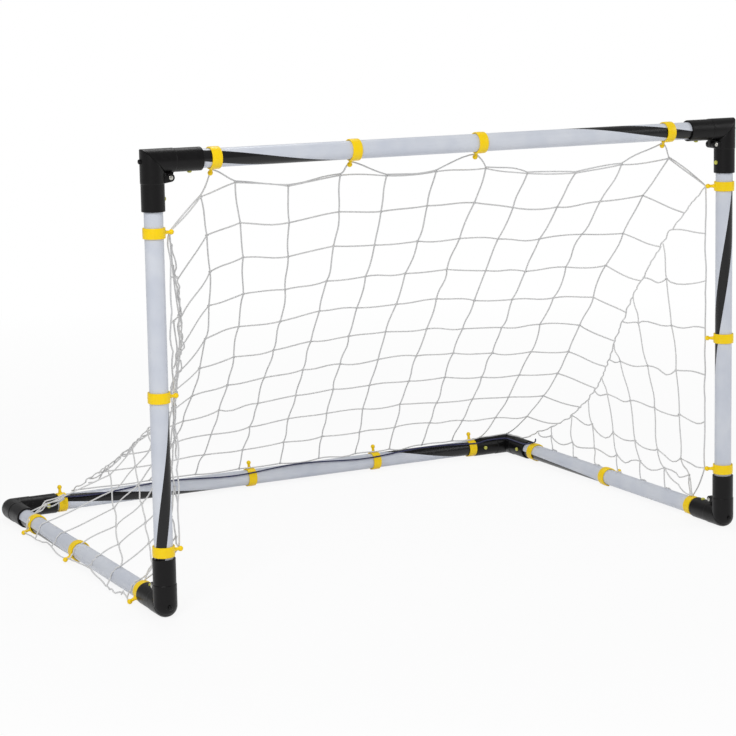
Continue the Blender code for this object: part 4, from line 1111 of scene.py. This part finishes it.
def gathered_twines(hooks, rng):
    """Twines bunched along the left seam, and loops from the rear bar's first lug to the side tube's."""
    paths = []
    for row in BUNCH_STARTS:
        bunch = seam_at(LEFT, np.linspace(row, BUNCH_END, 13)) + ORIGIN
        paths.append(slack_path(bunch + rng.normal(0, BUNCH_STRAY, bunch.shape), rng, 0.03, BUNCH_STRAY))
    for shift in LOOP_SHIFTS:
        loop = [hooks["rear_bar_1"] - Z * 8 * MM, (-0.49, 0.345, 0.044 + shift),
                (-0.545, 0.30, 0.046 + shift), (LEFT_X, 0.262, 0.0395),
                (LEFT_X - 17 * MM, 0.250 + shift, 0.030), hooks["left_side_3"]]
        paths.append(slack_path(loop, rng, 0.06))
    return paths


def doubled_twine(row, rng):
    """Second twine that hangs under the start of a row, from its front end to its second knot."""
    front, _, inner = row
    second = inner[min(inner) + 1]
    middle = (front + second) / 2 - Z * 6 * MM
    return slack_path(np.array([front, middle, second]) + ORIGIN, rng, 0.07)


def side_twines(side, hooks, rng):
    """Twines and knots of a side: rows, uprights, post edge, slack edge and its loose twines."""
    rows = side_rows(side)
    row_sag, upright_sag, stray = SIDE_SLACK[side]
    paths = []
    knots = []
    uprights = {}
    for number, (front, seam, inner) in enumerate(rows):
        row = [front] + [inner[k] for k in sorted(inner)] + [seam]
        sag = row_sag * (0.25 + 0.75 * number / len(rows))
        paths.append(slack_path(np.array(row) + ORIGIN, rng, sag, stray))
        knots += [place + ORIGIN for place in inner.values()]
        for k, place in inner.items():
            uprights.setdefault(k, []).append(place)
    for k, places in sorted(uprights.items()):
        paths.append(slack_path(upright(side, k, places) + ORIGIN, rng, upright_sag))
    heights = POST_RINGS[side]
    edge = [post_edge(side, height) for height in np.linspace(heights[-1], heights[0], 9)]
    edge.append(rows[len(ROW_ENDS[side]) - 1][0])
    paths.append(slack_path(np.array(edge) + ORIGIN, rng, 0.01))
    edge = [(side * (RIGHT_X + SLACK_OUT), place, up - GROUND_Z) for place, up in SLACK_EDGE[side]]
    paths.append(slack_path(np.array(edge) + ORIGIN, rng, 0.0))
    if side == RIGHT:
        paths.append(doubled_twine(rows[-1], rng))
    else:
        paths += gathered_twines(hooks, rng)
    return paths, np.array(knots)


# Where each side's net is cut into three pieces: at the front plane, and at its ground line. A ground
# line is a height and its rise per metre back.
FRONT_PLANE = FRONT_Y + 95 * MM
GROUND_LINE = {LEFT: (GROUND_Z + 27 * MM - 0.19 * FRONT_Y, 0.19), RIGHT: (GROUND_Z + 50 * MM, 0.0)}


def add_side(side, name, hooks, rng):
    """Three pieces of a side: the one between, the one in front of the front plane and the ground one."""
    base, rise = GROUND_LINE[side]
    paths, knots = side_twines(side, hooks, rng)
    front_paths, ground_paths, side_paths = [], [], []
    for path in paths:
        ahead, behind = split(path, path[:, 1] - FRONT_PLANE)
        front_paths += ahead
        for part in behind:
            below, above = split(part, part[:, 2] - base - rise * part[:, 1])
            ground_paths += below
            side_paths += above
    ahead = knots[:, 1] < FRONT_PLANE
    below = (knots[:, 2] < base + rise * knots[:, 1]) & ~ahead
    piece = net_piece(f"{name}_side", side_paths, knots[~ahead & ~below], rng)
    follow(piece)
    piece = net_piece(f"{name}_post_edge", front_paths, knots[ahead], rng)
    follow(piece)
    piece = net_piece(f"{name}_ground_edge", ground_paths, knots[below], rng)
    follow(piece)


# Where the twine hooks on, just inside each lug's ball
HOOKS = {node.replace("net_ring_", ""): middle + lug * (LUG_REACH - LUG_BALL_RADIUS - 2 * MM)
         for node, body, middle, along, lug in RINGS}
net_rng = np.random.default_rng(NET_SEED)
back_paths, back_lumps = back_twines(HOOKS, net_rng)
follow(net_piece("back", back_paths, back_lumps, net_rng, ["net"]))
add_side(LEFT, "left", HOOKS, net_rng)
add_side(RIGHT, "right", HOOKS, net_rng)


# Studio: floor, light and camera

def floor_material():
    """Pale studio sweep that glows towards the camera and glossy surfaces, and keeps the shadow."""
    material, tree, shader = new_material("studio_sweep", Roughness=0.9)
    shader.inputs["Base Color"].default_value = linear("#F4F4F5")
    rays = add_node(tree, "ShaderNodeLightPath")
    glow = add_node(tree, "ShaderNodeEmission", {"Color": linear("#FFFFFF"), "Strength": 1.0})
    seen = add_node(tree, "ShaderNodeMath", {
        0: rays.outputs["Is Camera Ray"], 1: rays.outputs["Is Glossy Ray"]}, operation="MAXIMUM")
    place = add_node(tree, "ShaderNodeTexCoord").outputs["Object"]
    away = add_node(tree, "ShaderNodeVectorMath", {0: place}, operation="LENGTH").outputs["Value"]
    fade = ranged(tree, away, 1.0, 3.0, 0.88, 1.0)
    share = add_node(tree, "ShaderNodeMath", {0: seen.outputs[0], 1: fade}, operation="MULTIPLY")
    mix = add_node(tree, "ShaderNodeMixShader", {
        0: share.outputs[0], 1: shader.outputs[0], 2: glow.outputs[0]})
    tree.links.new(mix.outputs[0], tree.nodes["Material Output"].inputs["Surface"])
    return material


def add_floor():
    """Square studio floor, 16 m wide, on the ground."""
    reach = np.linspace(-8.0, 8.0, 5)
    x, y = np.meshgrid(reach, reach, indexing="ij")
    shape = skins(np.stack([x, y, np.zeros_like(x)], axis=-1), columns_close=False, caps=False)
    mesh = bpy.data.meshes.new("studio_floor")
    mesh.from_pydata(shape["vertices"].tolist(), [], shape["quads"].tolist())
    mesh.materials.append(floor_material())
    floor = bpy.data.objects.new("studio_floor", mesh)
    bpy.context.collection.objects.link(floor)


# Soft boxes as (name, place, width in metres, watts), all aimed at the middle of the goal
LAMPS = (("key_soft_box", (-2.2, -2.6, 2.6), 1.6, 62.0),
         ("fill_soft_box", (2.8, -1.8, 1.8), 1.6, 22.0),
         ("top_soft_box", (0.3, 1.2, 3.0), 1.4, 22.0))
LAMP_TARGET = np.array([0.0, 0.0, 0.3])


def add_lamp(name, place, size, power):
    """Square soft box aimed at the middle of the goal."""
    back = unit(np.array(place) - LAMP_TARGET)
    right = unit(np.cross(Z, back))
    matrix = np.eye(4)
    matrix[:3, :3] = np.stack([right, np.cross(back, right), back], axis=1)
    matrix[:3, 3] = place
    lamp = bpy.data.lights.new(name, "AREA")
    lamp.size = size
    lamp.energy = power
    obj = bpy.data.objects.new(name, lamp)
    bpy.context.collection.objects.link(obj)
    obj.matrix_world = Matrix(matrix.tolist())


def add_world():
    """World that is white to the camera and lights the goal evenly."""
    world = bpy.data.worlds.new("studio")
    bpy.context.scene.world = world
    world.use_nodes = True
    tree = world.node_tree
    rays = add_node(tree, "ShaderNodeLightPath")
    seen = add_node(tree, "ShaderNodeMath", {
        0: rays.outputs["Is Camera Ray"], 1: rays.outputs["Is Transmission Ray"]}, operation="MAXIMUM")
    strength = ranged(tree, seen.outputs[0], 0.0, 1.0, 0.40, 1.0)
    tree.links.new(strength, tree.nodes["Background"].inputs["Strength"])
    tree.nodes["Background"].inputs["Color"].default_value = linear("#FFFFFF")


def add_camera():
    """Camera where the photograph was taken from."""
    azimuth, elevation, roll = np.radians([CAMERA_AZIMUTH, CAMERA_ELEVATION, CAMERA_ROLL])
    ahead = math.cos(elevation)
    forward = np.array([math.sin(azimuth) * ahead, math.cos(azimuth) * ahead, -math.sin(elevation)])
    level = np.array([math.cos(azimuth), -math.sin(azimuth), 0.0])
    right = level * math.cos(roll) + np.cross(level, forward) * math.sin(roll)
    matrix = np.eye(4)
    matrix[:3, :3] = np.stack([right, np.cross(right, forward), -forward], axis=1)
    matrix[:3, 3] = CAMERA_PLACE
    data = bpy.data.cameras.new("photo_camera")
    data.lens = CAMERA_LENS
    data.sensor_width = 36.0
    data.shift_x, data.shift_y = CAMERA_SHIFT
    camera = bpy.data.objects.new("photo_camera", data)
    bpy.context.collection.objects.link(camera)
    camera.matrix_world = Matrix(matrix.tolist())
    bpy.context.scene.camera = camera


add_floor()
add_world()
for lamp in LAMPS:
    add_lamp(*lamp)
add_camera()
bpy.context.scene.view_settings.view_transform = "Standard"
